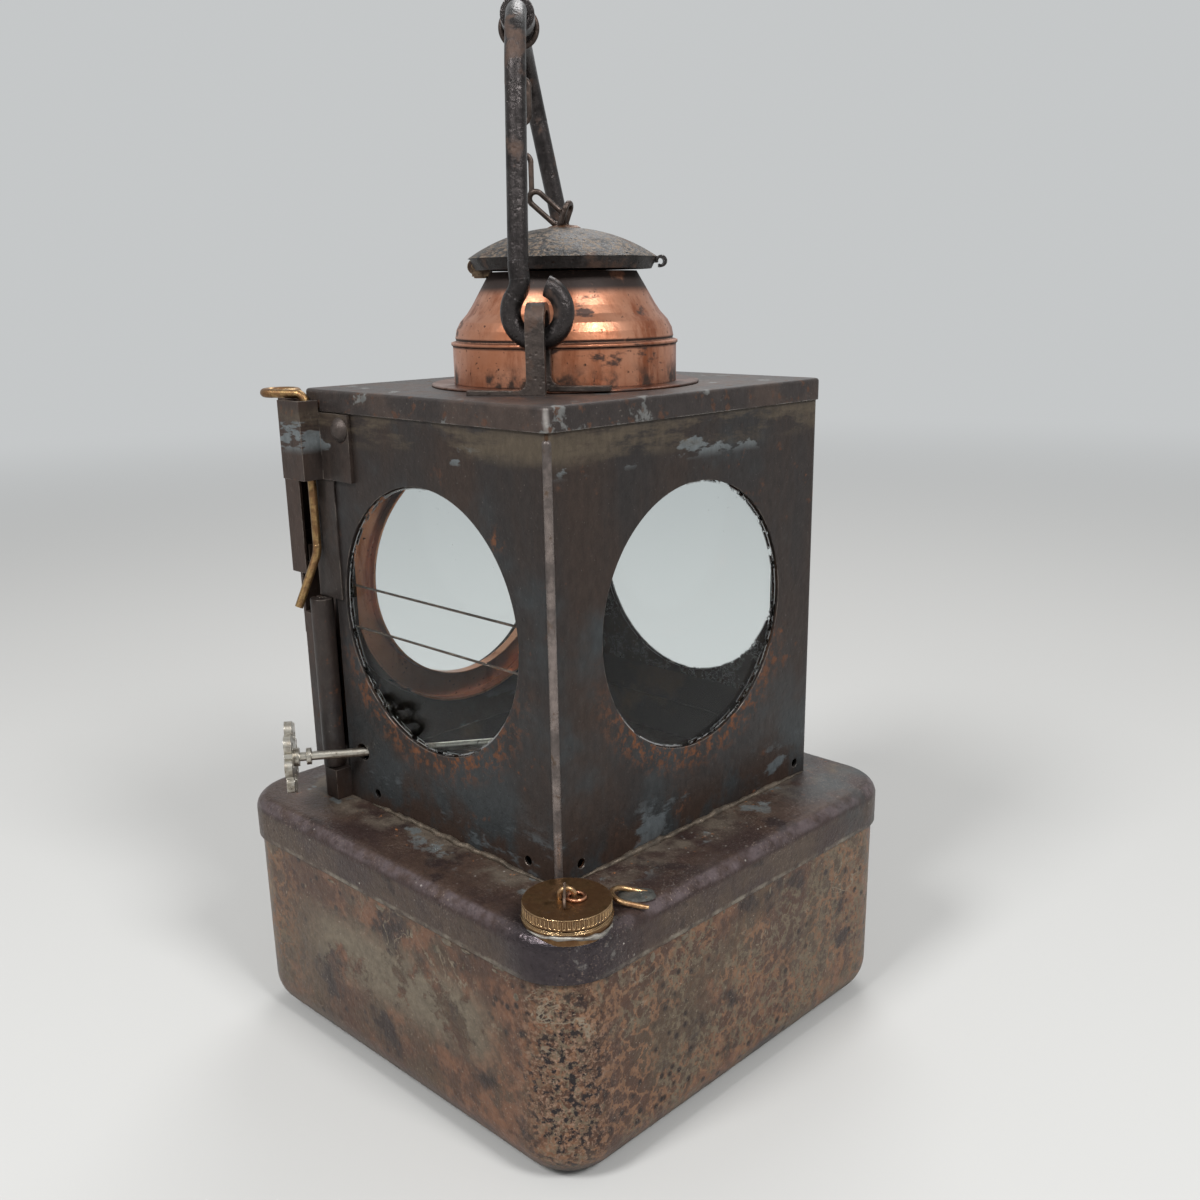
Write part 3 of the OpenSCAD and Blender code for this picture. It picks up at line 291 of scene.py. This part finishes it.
def lid_finish():
    f = Finish("lid_paint", (0.042, 0.026, 0.023), 0.34, 0.35)
    top = f.facing_up()
    f.layer(f.both(top, f.patches(30, 21, 0.42, 0.6, detail=7)), (0.066, 0.041, 0.031), rough=0.38)
    f.layer(f.both(top, f.patches(46, 22, 0.55, 0.66)), (0.030, 0.020, 0.019), rough=0.34)
    near_wall = f.either(f.both(f.between(0, -0.072, 0.072, 0.004), f.between(1, -0.071, -0.050, 0.006)),
                         f.both(f.between(1, -0.072, 0.080, 0.004), f.between(0, 0.050, 0.070, 0.006)))
    f.layer(f.both(top, near_wall, f.patches(60, 23, 0.42, 0.6)), (0.110, 0.088, 0.068), rough=0.58)
    f.layer(f.both(top, near_wall, f.patches(90, 24, 0.57, 0.62)), (0.125, 0.135, 0.135), rough=0.5)
    f.layer(f.both(near_wall, f.patches(260, 25, 0.64, 0.70)), (0.30, 0.12, 0.045), rough=0.7)
    # Painted highlight: pinkish grey in patches along the lid's rounded shoulder
    shoulder_highlight = f.both(f.facing_up(0.2, 0.5), f.less(f.facing_up(0.86, 0.98)))
    f.layer(f.both(shoulder_highlight, f.patches(120, 26, 0.36, 0.6)), (0.098, 0.074, 0.076), rough=0.36)
    skirt = f.both(f.less(f.facing_up(0.05, 0.25)), f.between(2, 0.05, 0.0805, 0.001))
    f.layer(f.both(skirt, f.patches(34, 27, 0.40, 0.62)), (0.075, 0.052, 0.038), rough=0.45)
    f.layer(f.both(skirt, f.patches(80, 28, 0.58, 0.68)), (0.028, 0.018, 0.015), rough=0.35)
    line = f.both(f.between(2, 0.0690, 0.0712, 0.0005), f.patches(70, 29, 0.42, 0.60))
    f.layer(line, (0.20, 0.175, 0.14), rough=0.6)
    corner = f.near((0.080, -0.080, TANK_TOP - 0.004), 0.008, 0.030)
    f.layer(corner, (0.055, 0.046, 0.050), rough=0.16, metal=0.9)
    smear = f.both(f.near((0.082, -0.070, TANK_TOP), 0.006, 0.016),
                   f.patches(150, 39, 0.54, 0.62, grain=0.7))
    f.layer(smear, (0.17, 0.16, 0.15), rough=0.3, metal=0.6)
    far_end = f.either(f.near((-0.080, 0.03, TANK_TOP), 0.02, 0.06),
                       f.near((0.075, 0.08, TANK_TOP), 0.015, 0.05))
    f.layer(f.both(far_end, f.patches(50, 30, 0.40, 0.62)), (0.060, 0.062, 0.062), rough=0.5)
    grit = f.both(f.patches(1300, 31, 0.57, 0.68, detail=3, grain=0.8), f.patches(40, 32, 0.38, 0.6))
    f.layer(grit, (0.20, 0.155, 0.13))
    f.layer(f.patches(1100, 40, 0.60, 0.70, detail=3, grain=0.8), (0.014, 0.010, 0.010))
    f.layer(f.both(f.pits(330, 33, 0.05, 0.16), f.patches(30, 34, 0.54, 0.62)), (0.34, 0.31, 0.28))
    f.shade(0.25, 35, scale=420, grain=0.7)
    f.relief(f.noise(520, 36, grain=0.7), 0.00026).relief(f.noise(60, 37), 0.0007)
    f.relief(f.pits(420, 38, 0.05, 0.3), -0.00008)
    return f.done()


# Lamp house: near-black steel with blue-grey paint left in patches, rust at the openings

def house_finish(name, base, brown, blue, rust_amount=1.0):
    f = Finish(name, base, 0.43, 0.35, edge=0.0005)
    upright = (1, 1, 0.28)
    f.layer(f.patches(26, 41, 0.40, 0.62, detail=7, stretch=upright), brown, rough=0.47)
    low = f.step(f.axes[2], 0.155, 0.095)
    f.layer(f.both(f.either(low, f.patches(14, 42, 0.52, 0.62)), f.patches(30, 43, 0.38, 0.58, detail=6)),
            blue, rough=0.40)
    lowest = f.both(f.step(f.axes[2], 0.115, 0.088), f.patches(40, 44, 0.44, 0.56))
    f.layer(lowest, (0.038, 0.023, 0.017), rough=0.5)
    for centre in ((0, HOUSE_FRONT, WINDOW_Z), (HOUSE_X, HOUSE_MID, WINDOW_Z)):
        ring = f.near(centre, WINDOW_R + 0.001, WINDOW_R + 0.012)
        below = f.step(f.axes[2], WINDOW_Z - 0.004, WINDOW_Z - 0.038)
        where = f.either(below, f.patches(50, 45, 0.6, 0.7))
        rust = f.both(ring, where, f.patches(330, 46, 0.47, 0.60, grain=0.7))
        f.layer(rust, (0.150 * rust_amount, 0.060 * rust_amount, 0.028), rough=0.68)
    spots = f.both(f.patches(200, 47, 0.60, 0.68), f.patches(30, 48, 0.52, 0.62))
    f.layer(spots, (0.120, 0.052, 0.028), rough=0.68)
    under_roof = f.between(2, ROOF_UNDER - 0.012, ROOF_UNDER - 0.002, 0.002)
    at_foot = f.between(2, TANK_TOP, TANK_TOP + 0.014, 0.006)
    flake = f.both(under_roof, f.patches(36, 49, 0.56, 0.58, detail=7, stretch=(0.6, 0.6, 1.8)))
    f.layer(flake, (0.125, 0.138, 0.142), rough=0.5)
    flake_low = f.both(at_foot, f.patches(48, 50, 0.55, 0.61, detail=8, stretch=(0.7, 0.7, 1.8)))
    f.layer(flake_low, (0.095, 0.108, 0.115), rough=0.45)
    wash = f.both(f.between(2, ROOF_UNDER - 0.009, ROOF_UNDER, 0.003),
                  f.patches(60, 51, 0.44, 0.58, detail=8, grain=0.7, stretch=(0.4, 0.4, 1.6)))
    f.layer(wash, (0.085, 0.066, 0.046), rough=0.55)
    f.layer(f.patches(1300, 52, 0.70, 0.78, detail=2), (0.11, 0.095, 0.085))
    f.layer(f.both(f.edges(), f.patches(120, 53, 0.40, 0.58)), (0.26, 0.22, 0.19), rough=0.32, metal=0.9)
    # Painted shade: the inner faces of the walls are darkened nearly to black
    inside = f.both(f.between(0, -HOUSE_X + 0.0004, HOUSE_X - 0.0004, 0.0001),
                    f.between(1, HOUSE_FRONT + 0.0004, HOUSE_REAR - 0.0004, 0.0001))
    f.layer(inside, (0.010, 0.007, 0.006), rough=0.75, metal=0.0)
    warm = f.both(inside, f.patches(30, 58, 0.48, 0.64, detail=7))
    f.layer(warm, (0.060, 0.030, 0.014), rough=0.6, metal=0.2)
    # Painted light: a bright orange patch on the inner side wall near the front corner
    glow = f.both(inside, f.near((HOUSE_X, HOUSE_FRONT + 0.020, WINDOW_Z - 0.012), 0.012, 0.034, (1, 1, 0.5)))
    f.layer(glow, (0.55, 0.22, 0.09), rough=0.32, metal=0.9)
    f.shade(0.26, 54, scale=420, grain=0.75, stretch=(1, 1, 0.5))
    f.relief(f.noise(380, 55, grain=0.65), 0.00016).relief(f.noise(34, 56), 0.0007)
    f.relief(f.either(flake, flake_low), 0.00008).relief(f.pits(300, 57, 0.04, 0.2), -0.00006)
    return f.done()


def roof_finish():
    f = Finish("roof_paint", (0.036, 0.029, 0.027), 0.45, 0.35, edge=0.0007)
    f.layer(f.patches(40, 61, 0.45, 0.62, detail=7), (0.058, 0.041, 0.034), rough=0.5)
    f.layer(f.patches(75, 62, 0.60, 0.63, detail=6), (0.135, 0.135, 0.130), rough=0.55)
    f.layer(f.both(f.patches(260, 63, 0.58, 0.66)), (0.080, 0.042, 0.028), rough=0.6)
    corner = f.near((HOUSE_X + 0.0008, HOUSE_FRONT - 0.0008, ROOF_TOP - 0.003), 0.0008, 0.0020, (1, 1, 0.25))
    f.layer(corner, (0.50, 0.47, 0.44), rough=0.35, metal=0.9)
    f.layer(f.both(f.edges(), f.patches(90, 64, 0.36, 0.56)), (0.36, 0.33, 0.30), rough=0.30, metal=0.9)
    f.layer(f.patches(1300, 65, 0.68, 0.76, detail=2), (0.16, 0.14, 0.12))
    f.shade(0.25, 66, scale=260, grain=0.7)
    f.relief(f.noise(420, 67, grain=0.7), 0.00025).relief(f.noise(50, 68), 0.0008)
    return f.done()


# Dark steel of the cap, the bail and the chain

def steel_finish(name, base, rough, metal, seed, wear, pit=1.0, dust=0.0):
    f = Finish(name, base, rough, metal, edge=0.0004)
    f.layer(f.patches(120, seed, 0.45, 0.62, detail=6), tuple(c * 0.55 for c in base), rough=rough + 0.12)
    f.layer(f.patches(90, seed + 1, 0.56, 0.66, detail=7), (0.060, 0.036, 0.026), rough=0.6, metal=0.1)
    if dust:
        settled = f.both(f.facing_up(0.1, 0.9), f.patches(750, seed + 2, 0.48, 0.60))
        f.layer(settled, (dust, dust * 0.76, dust * 0.56), rough=0.6)
    f.layer(f.both(f.edges(), f.patches(160, seed + 3, 0.38, 0.56)), wear, rough=0.3, metal=0.95)
    f.shade(0.25, seed + 4, scale=500, grain=0.7)
    f.relief(f.noise(650, seed + 5, grain=0.7), 0.00022 * pit)
    f.relief(f.pits(420, seed + 6, 0.05, 0.3), -0.00012 * pit)
    return f.done()


# Copper chimney: rubbed bright, with dark tarnish in its grooves and in upright streaks

def copper_finish(name, bright, seed, tarnish=0.5, foot=None):
    f = Finish(name, bright, 0.30, 1.0, edge=0.0004)
    red, green, blue = bright
    f.layer(f.patches(40, seed, 0.35, 0.7, detail=7), (red * 0.82, green * 0.66, blue * 0.55), rough=0.34)
    streaks = f.patches(95, seed + 1, tarnish, tarnish + 0.2, detail=8, grain=0.66, stretch=(1, 1, 0.25))
    f.layer(streaks, (red * 0.50, green * 0.34, blue * 0.26), rough=0.40)
    spots = f.patches(70, seed + 2, tarnish + 0.10, tarnish + 0.17, detail=9, grain=0.68,
                      stretch=(0.7, 0.7, 1.6))
    f.layer(spots, (0.070, 0.042, 0.034), rough=0.5, metal=0.6)
    if foot is not None:
        # Dark band below the mouth: partly soot, partly the cap's shadow painted on the copper
        soot_and_cap_shadow = f.both(f.step(f.axes[2], foot + CHIMNEY_TOP - 0.0085, foot + CHIMNEY_TOP - 0.0045),
                      f.patches(60, seed + 8, 0.22, 0.40, detail=7))
        f.layer(soot_and_cap_shadow, (0.030, 0.020, 0.017), rough=0.6, metal=0.3)
        low = f.both(f.step(f.axes[2], foot + 0.009, foot + 0.003),
                     f.patches(70, seed + 9, 0.46, 0.56, detail=8))
        f.layer(low, (0.055, 0.036, 0.028), rough=0.5, metal=0.5)
        bead = foot + CHIMNEY_BEAD
        for z, width in ((foot, 0.0010), (bead - 0.0010, 0.0005), (bead + 0.0009, 0.0006)):
            band = f.both(f.between(2, z - width, z + width, 0.0004), f.patches(150, seed + 3, 0.25, 0.42))
            f.layer(band, (0.030, 0.018, 0.014), rough=0.55, metal=0.4)
    f.layer(f.patches(800, seed + 4, 0.64, 0.74, detail=2), (0.060, 0.036, 0.028), rough=0.6)
    rubbed = f.both(f.edges(), f.patches(200, seed + 5, 0.3, 0.5))
    f.layer(rubbed, tuple(min(1, c * 1.3) for c in bright), rough=0.22)
    f.relief(f.noise(45, seed + 6), 0.0005)
    f.relief(f.noise(900, seed + 7, grain=0.7, stretch=(1, 1, 0.3)), 0.00003)
    return f.done()


def brass_finish(name, base, dark, seed, clean=0.5, scale=150):
    f = Finish(name, base, 0.30, 1.0, edge=0.0003)
    f.layer(f.patches(scale, seed, clean - 0.12, clean + 0.12, detail=7), dark, rough=0.45, metal=0.8)
    f.layer(f.patches(scale * 4, seed + 1, 0.58, 0.70, detail=5), (0.050, 0.030, 0.018), rough=0.6, metal=0.4)
    # Painted highlight: bright brass along the edges
    f.layer(f.edges(0.02, 0.2), (0.78, 0.55, 0.30), rough=0.24)
    f.shade(0.15, seed + 2, scale=700)
    f.relief(f.noise(900, seed + 3, grain=0.7), 0.00006)
    return f.done()


def nickel_finish():
    f = Finish("nickel", (0.50, 0.47, 0.41), 0.28, 1.0, edge=0.0003)
    f.layer(f.patches(220, 121, 0.45, 0.66, detail=7), (0.24, 0.21, 0.17), rough=0.42)
    f.layer(f.patches(500, 122, 0.60, 0.70), (0.070, 0.055, 0.042), rough=0.6, metal=0.4)
    f.layer(f.edges(0.02, 0.2), (0.72, 0.69, 0.62), rough=0.22)
    f.relief(f.noise(800, 123, grain=0.7), 0.00006)
    return f.done()


def solder_finish(name, base, seed, scale=240, rough=0.42):
    f = Finish(name, base, rough, 0.7, edge=0)
    dull = f.patches(scale, seed, 0.45, 0.62, detail=7)
    f.layer(dull, tuple(c * 0.45 for c in base), rough=rough + 0.1, metal=0.4)
    f.layer(f.patches(scale * 2.4, seed + 1, 0.58, 0.68), (0.070, 0.045, 0.030), rough=0.65, metal=0.1)
    f.shade(0.25, seed + 2, scale=500)
    f.relief(f.noise(300, seed + 3, grain=0.65), 0.0004).relief(f.noise(1200, seed + 4), 0.00006)
    return f.done()


def glass_finish(name, seed, centre, axis):
    """Clear old glass, with brown flakes along its opening and a few specks."""
    f = Finish(name, (0.93, 0.965, 0.97), 0.02, 0.0, edge=0)
    stretch = (0, 1, 1) if axis == 0 else (1, 0, 1)
    rim = f.less(f.near(centre, WINDOW_R - 0.0010, WINDOW_R - 0.0002, stretch))
    dirt = f.both(rim, f.patches(180, seed, 0.47, 0.50, detail=7, grain=0.7))
    high = f.step(f.axes[2], WINDOW_Z + 0.010, WINDOW_Z + 0.036)
    specks = f.both(f.pits(260, seed + 1, 0.03, 0.05), f.either(high, f.patches(60, seed + 2, 0.60, 0.64)))
    grime = f.either(dirt, specks)
    f.layer(grime, (0.020, 0.009, 0.004), rough=0.6)
    f.relief(f.noise(60, seed + 3, detail=2), 0.00003)
    return f.done(**{"Transmission Weight": f.less(grime), "IOR": 1.2, "Specular IOR Level": 0.5})


def cloth_finish():
    f = Finish("cotton", (0.62, 0.55, 0.42), 0.9, 0.0, edge=0)
    values = {"Vector": f.placed(141, (1, 1, 1)), "Scale": 420, "Distortion": 0.6}
    weave = f.add("TexWave", values).outputs["Fac"]
    f.layer(f.step(f.axes[2], TANK_TOP + 0.034, TANK_TOP + 0.040), (0.030, 0.024, 0.020))
    f.layer(f.patches(300, 142, 0.5, 0.7), (0.30, 0.22, 0.14))
    f.relief(weave, 0.0002)
    return f.done()


def cork_finish():
    f = Finish("cork", (0.24, 0.16, 0.10), 0.8, 0.0, edge=0)
    f.layer(f.pits(700, 151, 0.1, 0.35), (0.10, 0.06, 0.04))
    f.shade(0.3, 152, scale=500)
    f.relief(f.noise(900, 153), 0.0001)
    return f.done()


# Added pieces: solder, stains that stand proud, and dirt

def new_object(name, mesh, body, material):
    piece = bpy.data.objects.new(name, mesh)
    bpy.context.scene.collection.objects.link(piece)
    mesh.materials.append(material)
    for face in mesh.polygons:
        face.use_smooth = True
    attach(piece, body)
    return piece


def add_lump(bm, at, out, along, size, height, seed, rings=5, sides=18):
    """A low blob with a ragged outline, lying on a surface."""
    out = Vector(out).normalized()
    along = Vector(along).normalized()
    side = out.cross(along)
    rows = []
    for i in range(rings + 1):
        row = []
        part = i / rings
        for j in range(sides):
            turn = 2 * math.pi * j / sides
            ragged = 1 + 0.28 * noise.noise((math.cos(turn) * 1.6, math.sin(turn) * 1.6, seed))
            flat = along * math.cos(turn) * size[0] * part * ragged
            flat = flat + side * math.sin(turn) * size[1] * part * ragged
            dome = math.sqrt(max(0.0, 1 - part ** 2.2))
            bumpy = 1 + 0.35 * noise.noise(Vector(at) * 400 + flat * 500)
            row.append(bm.verts.new(Vector(at) + flat + out * (height * dome * bumpy - 0.00008)))
        rows.append(row)
    for i in range(rings):
        for j in range(sides):
            k = (j + 1) % sides
            quad = (rows[i][j], rows[i + 1][j], rows[i + 1][k], rows[i][k])
            bm.faces.new(quad if i else (quad[1], quad[2], quad[0]))


def add_bead(bm, points, radius, seed, sides=8, rough=0.35):
    """A lumpy line of solder that follows points."""
    rows = []
    count = len(points)
    for i, point in enumerate(points):
        ahead = (Vector(points[min(i + 1, count - 1)]) - Vector(points[max(i - 1, 0)])).normalized()
        side = ahead.cross(Vector((0, 0, 1)))
        side = side.normalized() if side.length > 0.05 else Vector((1, 0, 0))
        up = side.cross(ahead)
        fade = min(1.0, 4 * i / count + 0.25, 4 * (count - 1 - i) / count + 0.25)
        row = []
        for j in range(sides):
            turn = 2 * math.pi * j / sides
            wobble = 1 + rough * noise.noise(Vector(point) * 260 + Vector((0, 0, seed + j * 0.7)))
            spread = side * math.cos(turn) + up * math.sin(turn)
            row.append(bm.verts.new(Vector(point) + spread * radius * fade * wobble))
        rows.append(row)
    for i in range(count - 1):
        for j in range(sides):
            k = (j + 1) % sides
            bm.faces.new((rows[i][j], rows[i][k], rows[i + 1][k], rows[i + 1][j]))
    bm.faces.new(rows[0][::-1])
    bm.faces.new(rows[-1])


def finish_mesh(name, bm, body, material):
    bmesh.ops.remove_doubles(bm, verts=bm.verts, dist=0.000005)
    bmesh.ops.recalc_face_normals(bm, faces=bm.faces)
    mesh = bpy.data.meshes.new(name)
    bm.to_mesh(mesh)
    bm.free()
    return new_object(name, mesh, body, material)


def line(a, b, count):
    a, b = Vector(a), Vector(b)
    return [a.lerp(b, i / (count - 1)) for i in range(count)]


def make_base_solder(material):
    """Grey-brown fillet where the house stands on the lid."""
    bm = bmesh.new()
    z = TANK_TOP + 0.0002
    runs = (((-0.036, HOUSE_FRONT - 0.0003), (HOUSE_X - 0.004, HOUSE_FRONT - 0.0003)),
            ((HOUSE_X + 0.0003, HOUSE_FRONT + 0.004), (HOUSE_X + 0.0003, HOUSE_REAR - 0.003)),
            ((-0.044, HOUSE_REAR + 0.0003), (HOUSE_X - 0.004, HOUSE_REAR + 0.0003)))
    for i, (a, b) in enumerate(runs):
        add_bead(bm, line((*a, z), (*b, z), 90), 0.0011, i * 9.0, rough=0.9)
    return finish_mesh("base_solder", bm, "lamp", material)


def make_skirt_drips(material):
    """Brown crusts of old paint under the lid's skirt."""
    bm = bmesh.new()
    rng = random.Random(5)
    face = -0.0840
    for i in range(14):
        x = rng.uniform(-0.035, 0.066)
        z = SKIRT_FOOT - rng.uniform(0.0005, 0.009)
        size = (rng.uniform(0.0006, 0.0030), rng.uniform(0.0005, 0.0014))
        add_lump(bm, (x, face, z), (0, -1, 0), (1, 0, 0), size, rng.uniform(0.0002, 0.0005), i * 3.7, 3, 10)
    for i in range(6):
        y = rng.uniform(-0.066, 0.03)
        z = SKIRT_FOOT - rng.uniform(0.0005, 0.004)
        size = (rng.uniform(0.0006, 0.0014), rng.uniform(0.0006, 0.0018))
        add_lump(bm, (-face, y, z), (1, 0, 0), (0, 1, 0), size, rng.uniform(0.0002, 0.0004), i * 2.9, 3, 10)
    return finish_mesh("skirt_drips", bm, "lamp", material)


def make_filler_solder(material):
    """Silver smear round the front of the filler's neck."""
    bm = bmesh.new()
    points = []
    for i in range(60):
        turn = math.radians(-100 + i * 125 / 59)
        reach = 0.0137
        spot = Vector((math.cos(turn) * reach, math.sin(turn) * reach, 0))
        at = FILLER + spot
        fall = max(0.0, abs(at.x) - 0.0800) ** 2 + max(0.0, abs(at.y) - 0.0800) ** 2
        points.append(at + Vector((0, 0, 0.0002 - 60 * fall)))
    add_bead(bm, points, 0.00055, 4.0, rough=1.4)
    return finish_mesh("filler_solder", bm, "lamp", material)


def make_staple_solder(material):
    bm = bmesh.new()
    at = FILLER + Vector((0.0064, 0.0222, 0.0001))
    add_lump(bm, at, (0, 0, 1), (1, 1, 0), (0.0062, 0.0046), 0.0008, 8.0, 6, 26)
    return finish_mesh("staple_solder", bm, "lamp", material)


def make_loop_solder(material):
    bm = bmesh.new()
    at = (0.0004, HOUSE_MID + 0.0002, CAP_TOP - 0.0002)
    add_lump(bm, at, (0, 0, 1), (1, 0, 0), (0.0058, 0.0046), 0.0009, 2.0, 5, 22)
    return finish_mesh("loop_solder", bm, "chimney_cap", material)


# Studio: pale floor, three soft lamps and a pale surround

def make_floor():
    bm = bmesh.new()
    bmesh.ops.create_circle(bm, cap_ends=True, cap_tris=True, segments=96, radius=FLOOR_RADIUS)
    mesh = bpy.data.meshes.new("floor")
    bm.to_mesh(mesh)
    bm.free()
    floor = bpy.data.objects.new("floor", mesh)
    bpy.context.scene.collection.objects.link(floor)
    mat = bpy.data.materials.new("floor")
    mat.use_nodes = True
    tree = mat.node_tree
    tree.nodes.clear()
    diffuse = tree.nodes.new("ShaderNodeBsdfDiffuse")
    diffuse.inputs["Color"].default_value = (*FLOOR_COLOR, 1)
    pale = tree.nodes.new("ShaderNodeEmission")
    pale.inputs["Color"].default_value = (*BACKDROP, 1)
    coords = tree.nodes.new("ShaderNodeTexCoord")
    length = tree.nodes.new("ShaderNodeVectorMath")
    length.operation = "LENGTH"
    away = tree.nodes.new("ShaderNodeMapRange")
    away.interpolation_type = "SMOOTHSTEP"
    away.inputs["From Min"].default_value = FADE_FROM
    away.inputs["From Max"].default_value = FADE_TO
    mix = tree.nodes.new("ShaderNodeMixShader")
    out = tree.nodes.new("ShaderNodeOutputMaterial")
    tree.links.new(coords.outputs["Object"], length.inputs[0])
    tree.links.new(length.outputs["Value"], away.inputs["Value"])
    tree.links.new(away.outputs[0], mix.inputs[0])
    tree.links.new(diffuse.outputs[0], mix.inputs[1])
    tree.links.new(pale.outputs[0], mix.inputs[2])
    tree.links.new(mix.outputs[0], out.inputs[0])
    mesh.materials.append(mat)


def make_world():
    world = bpy.data.worlds.new("studio")
    bpy.context.scene.world = world
    world.use_nodes = True
    tree = world.node_tree
    tree.nodes.clear()
    path = tree.nodes.new("ShaderNodeLightPath")
    seen = path.outputs["Is Camera Ray"]
    for name in ("Is Glossy Ray", "Is Transmission Ray"):
        most = tree.nodes.new("ShaderNodeMath")
        most.operation = "MAXIMUM"
        tree.links.new(seen, most.inputs[0])
        tree.links.new(path.outputs[name], most.inputs[1])
        seen = most.outputs[0]
    fill = tree.nodes.new("ShaderNodeBackground")
    fill.inputs["Color"].default_value = (1, 1, 1, 1)
    fill.inputs["Strength"].default_value = FILL
    shown = tree.nodes.new("ShaderNodeBackground")
    shown.inputs["Color"].default_value = (*BACKDROP, 1)
    shown.inputs["Strength"].default_value = 1.0
    mix = tree.nodes.new("ShaderNodeMixShader")
    out = tree.nodes.new("ShaderNodeOutputWorld")
    tree.links.new(seen, mix.inputs[0])
    tree.links.new(fill.outputs[0], mix.inputs[1])
    tree.links.new(shown.outputs[0], mix.inputs[2])
    tree.links.new(mix.outputs[0], out.inputs[0])


def make_lamp(name, az, el, distance, size, watts):
    data = bpy.data.lights.new(name, "AREA")
    data.shape = "DISK"
    data.size = size
    data.energy = watts
    lamp = bpy.data.objects.new(name, data)
    a, e = math.radians(az), math.radians(el)
    out = Vector((math.sin(a) * math.cos(e), -math.cos(a) * math.cos(e), math.sin(e)))
    lamp.location = LAMP_TARGET + out * distance
    lamp.rotation_euler = out.to_track_quat("Z", "Y").to_euler()
    bpy.context.scene.collection.objects.link(lamp)


# Who wears what

def dress(names, material):
    for name in names.split():
        slots = nodes[name].data.materials
        if not slots:
            slots.append(material)
        for i in range(len(slots)):
            slots[i] = material


def dress_all():
    dress("tank_shell", tank_finish())
    dress("tank_lid", lid_finish())
    dress_house()
    dress_steel()
    dress_copper()
    dress_brass()
    dress("winder_spindle winder_wheel", nickel_finish())
    dress("corner_seam", solder_finish("seam_solder", (0.20, 0.165, 0.15), 161, 90, 0.24))
    dress_glass()
    dress("wick", cloth_finish())
    dress("filler_washer", cork_finish())


def dress_house():
    walls = house_finish("house_paint", (0.026, 0.022, 0.021), (0.036, 0.024, 0.019), (0.034, 0.038, 0.040))
    dress("house_shell inner_ledge glass_guides", walls)
    door = house_finish("door_paint", (0.032, 0.025, 0.022), (0.050, 0.032, 0.025), (0.040, 0.038, 0.038),
                        rust_amount=0.8)
    dress("door_panel door_hinge_tube door_knuckle door_sleeve door_tongue", door)
    dress("corner_plate hinge_bracket pivot_lug", door)
    dress("roof_plate", roof_finish())


def dress_steel():
    cap = steel_finish("cap_steel", (0.036, 0.033, 0.032), 0.42, 0.6, 71, (0.22, 0.21, 0.20), 1.2, 0.17)
    bail = steel_finish("bail_steel", (0.048, 0.042, 0.041), 0.27, 0.85, 81, (0.30, 0.29, 0.29))
    chain = steel_finish("chain_steel", (0.070, 0.052, 0.044), 0.36, 0.75, 91, (0.24, 0.20, 0.18), 0.7)
    bracket = steel_finish("bracket_steel", (0.060, 0.047, 0.041), 0.42, 0.5, 97, (0.28, 0.25, 0.22))
    wires = steel_finish("wire_steel", (0.16, 0.11, 0.08), 0.45, 0.6, 99, (0.3, 0.24, 0.2))
    dress("chimney_cap", cap)
    dress("bail_wire bail_grip", bail)
    dress("chain_ring chain_links cap_loop cap_link", chain)
    dress("bail_bracket_front bail_bracket_rear bracket_rivet", bracket)
    dress("retaining_wires filler_link", wires)


def dress_copper():
    dress("chimney_body", copper_finish("chimney_copper", (0.62, 0.30, 0.19), 101, 0.46, ROOF_TOP))
    dress("chimney_foot", copper_finish("foot_copper", (0.26, 0.15, 0.115), 107, 0.38))
    dress("lens_ring filler_ring", copper_finish("ring_copper", (0.58, 0.29, 0.17), 113, 0.52))


def dress_brass():
    cap = brass_finish("cap_brass", (0.28, 0.165, 0.075), (0.12, 0.062, 0.028), 127, 0.42)
    eye = brass_finish("eye_brass", (0.48, 0.31, 0.16), (0.22, 0.12, 0.06), 131, 0.5, 400)
    pin = brass_finish("pin_brass", (0.36, 0.235, 0.105), (0.17, 0.09, 0.04), 133, 0.46, 300)
    hinge = brass_finish("hinge_brass", (0.20, 0.14, 0.09), (0.06, 0.04, 0.03), 135, 0.45, 300)
    burner = brass_finish("burner_brass", (0.45, 0.31, 0.14), (0.18, 0.11, 0.05), 137, 0.5)
    dress("filler_cap filler_neck", cap)
    dress("filler_eye lid_staple", eye)
    dress("drop_pin", pin)
    dress("cap_hinge_lug cap_hinge_pin cap_hinge_strap", hinge)
    dress("burner_collar burner_base wick_tube burner_cone spur_wheels", burner)


def dress_glass():
    dress("front_glass", glass_finish("front_glass", 171, (0, HOUSE_FRONT, WINDOW_Z), 1))
    dress("rear_glass", glass_finish("rear_glass", 174, (0, HOUSE_REAR, WINDOW_Z), 1))
    dress("side_glass", glass_finish("side_glass", 177, (HOUSE_X, HOUSE_MID, WINDOW_Z), 0))
    dress("door_glass", glass_finish("door_glass", 181, (-HOUSE_X, HOUSE_MID, WINDOW_Z), 0))


def add_pieces():
    pale = solder_finish("pale_solder", (0.30, 0.28, 0.25), 191)
    crust = solder_finish("crust", (0.170, 0.140, 0.105), 193)
    brown = solder_finish("base_solder", (0.150, 0.120, 0.092), 195, 160)
    rust = solder_finish("loop_solder", (0.120, 0.058, 0.030), 199, 300)
    make_base_solder(brown)
    make_skirt_drips(crust)
    make_filler_solder(pale)
    make_staple_solder(solder_finish("staple_solder", (0.125, 0.125, 0.115), 203, 300))
    make_loop_solder(rust)


make_camera()
dress_all()
add_pieces()
make_floor()
make_world()
for lamp_values in LAMPS:
    make_lamp(*lamp_values)
bpy.context.scene.view_settings.view_transform = "Standard"
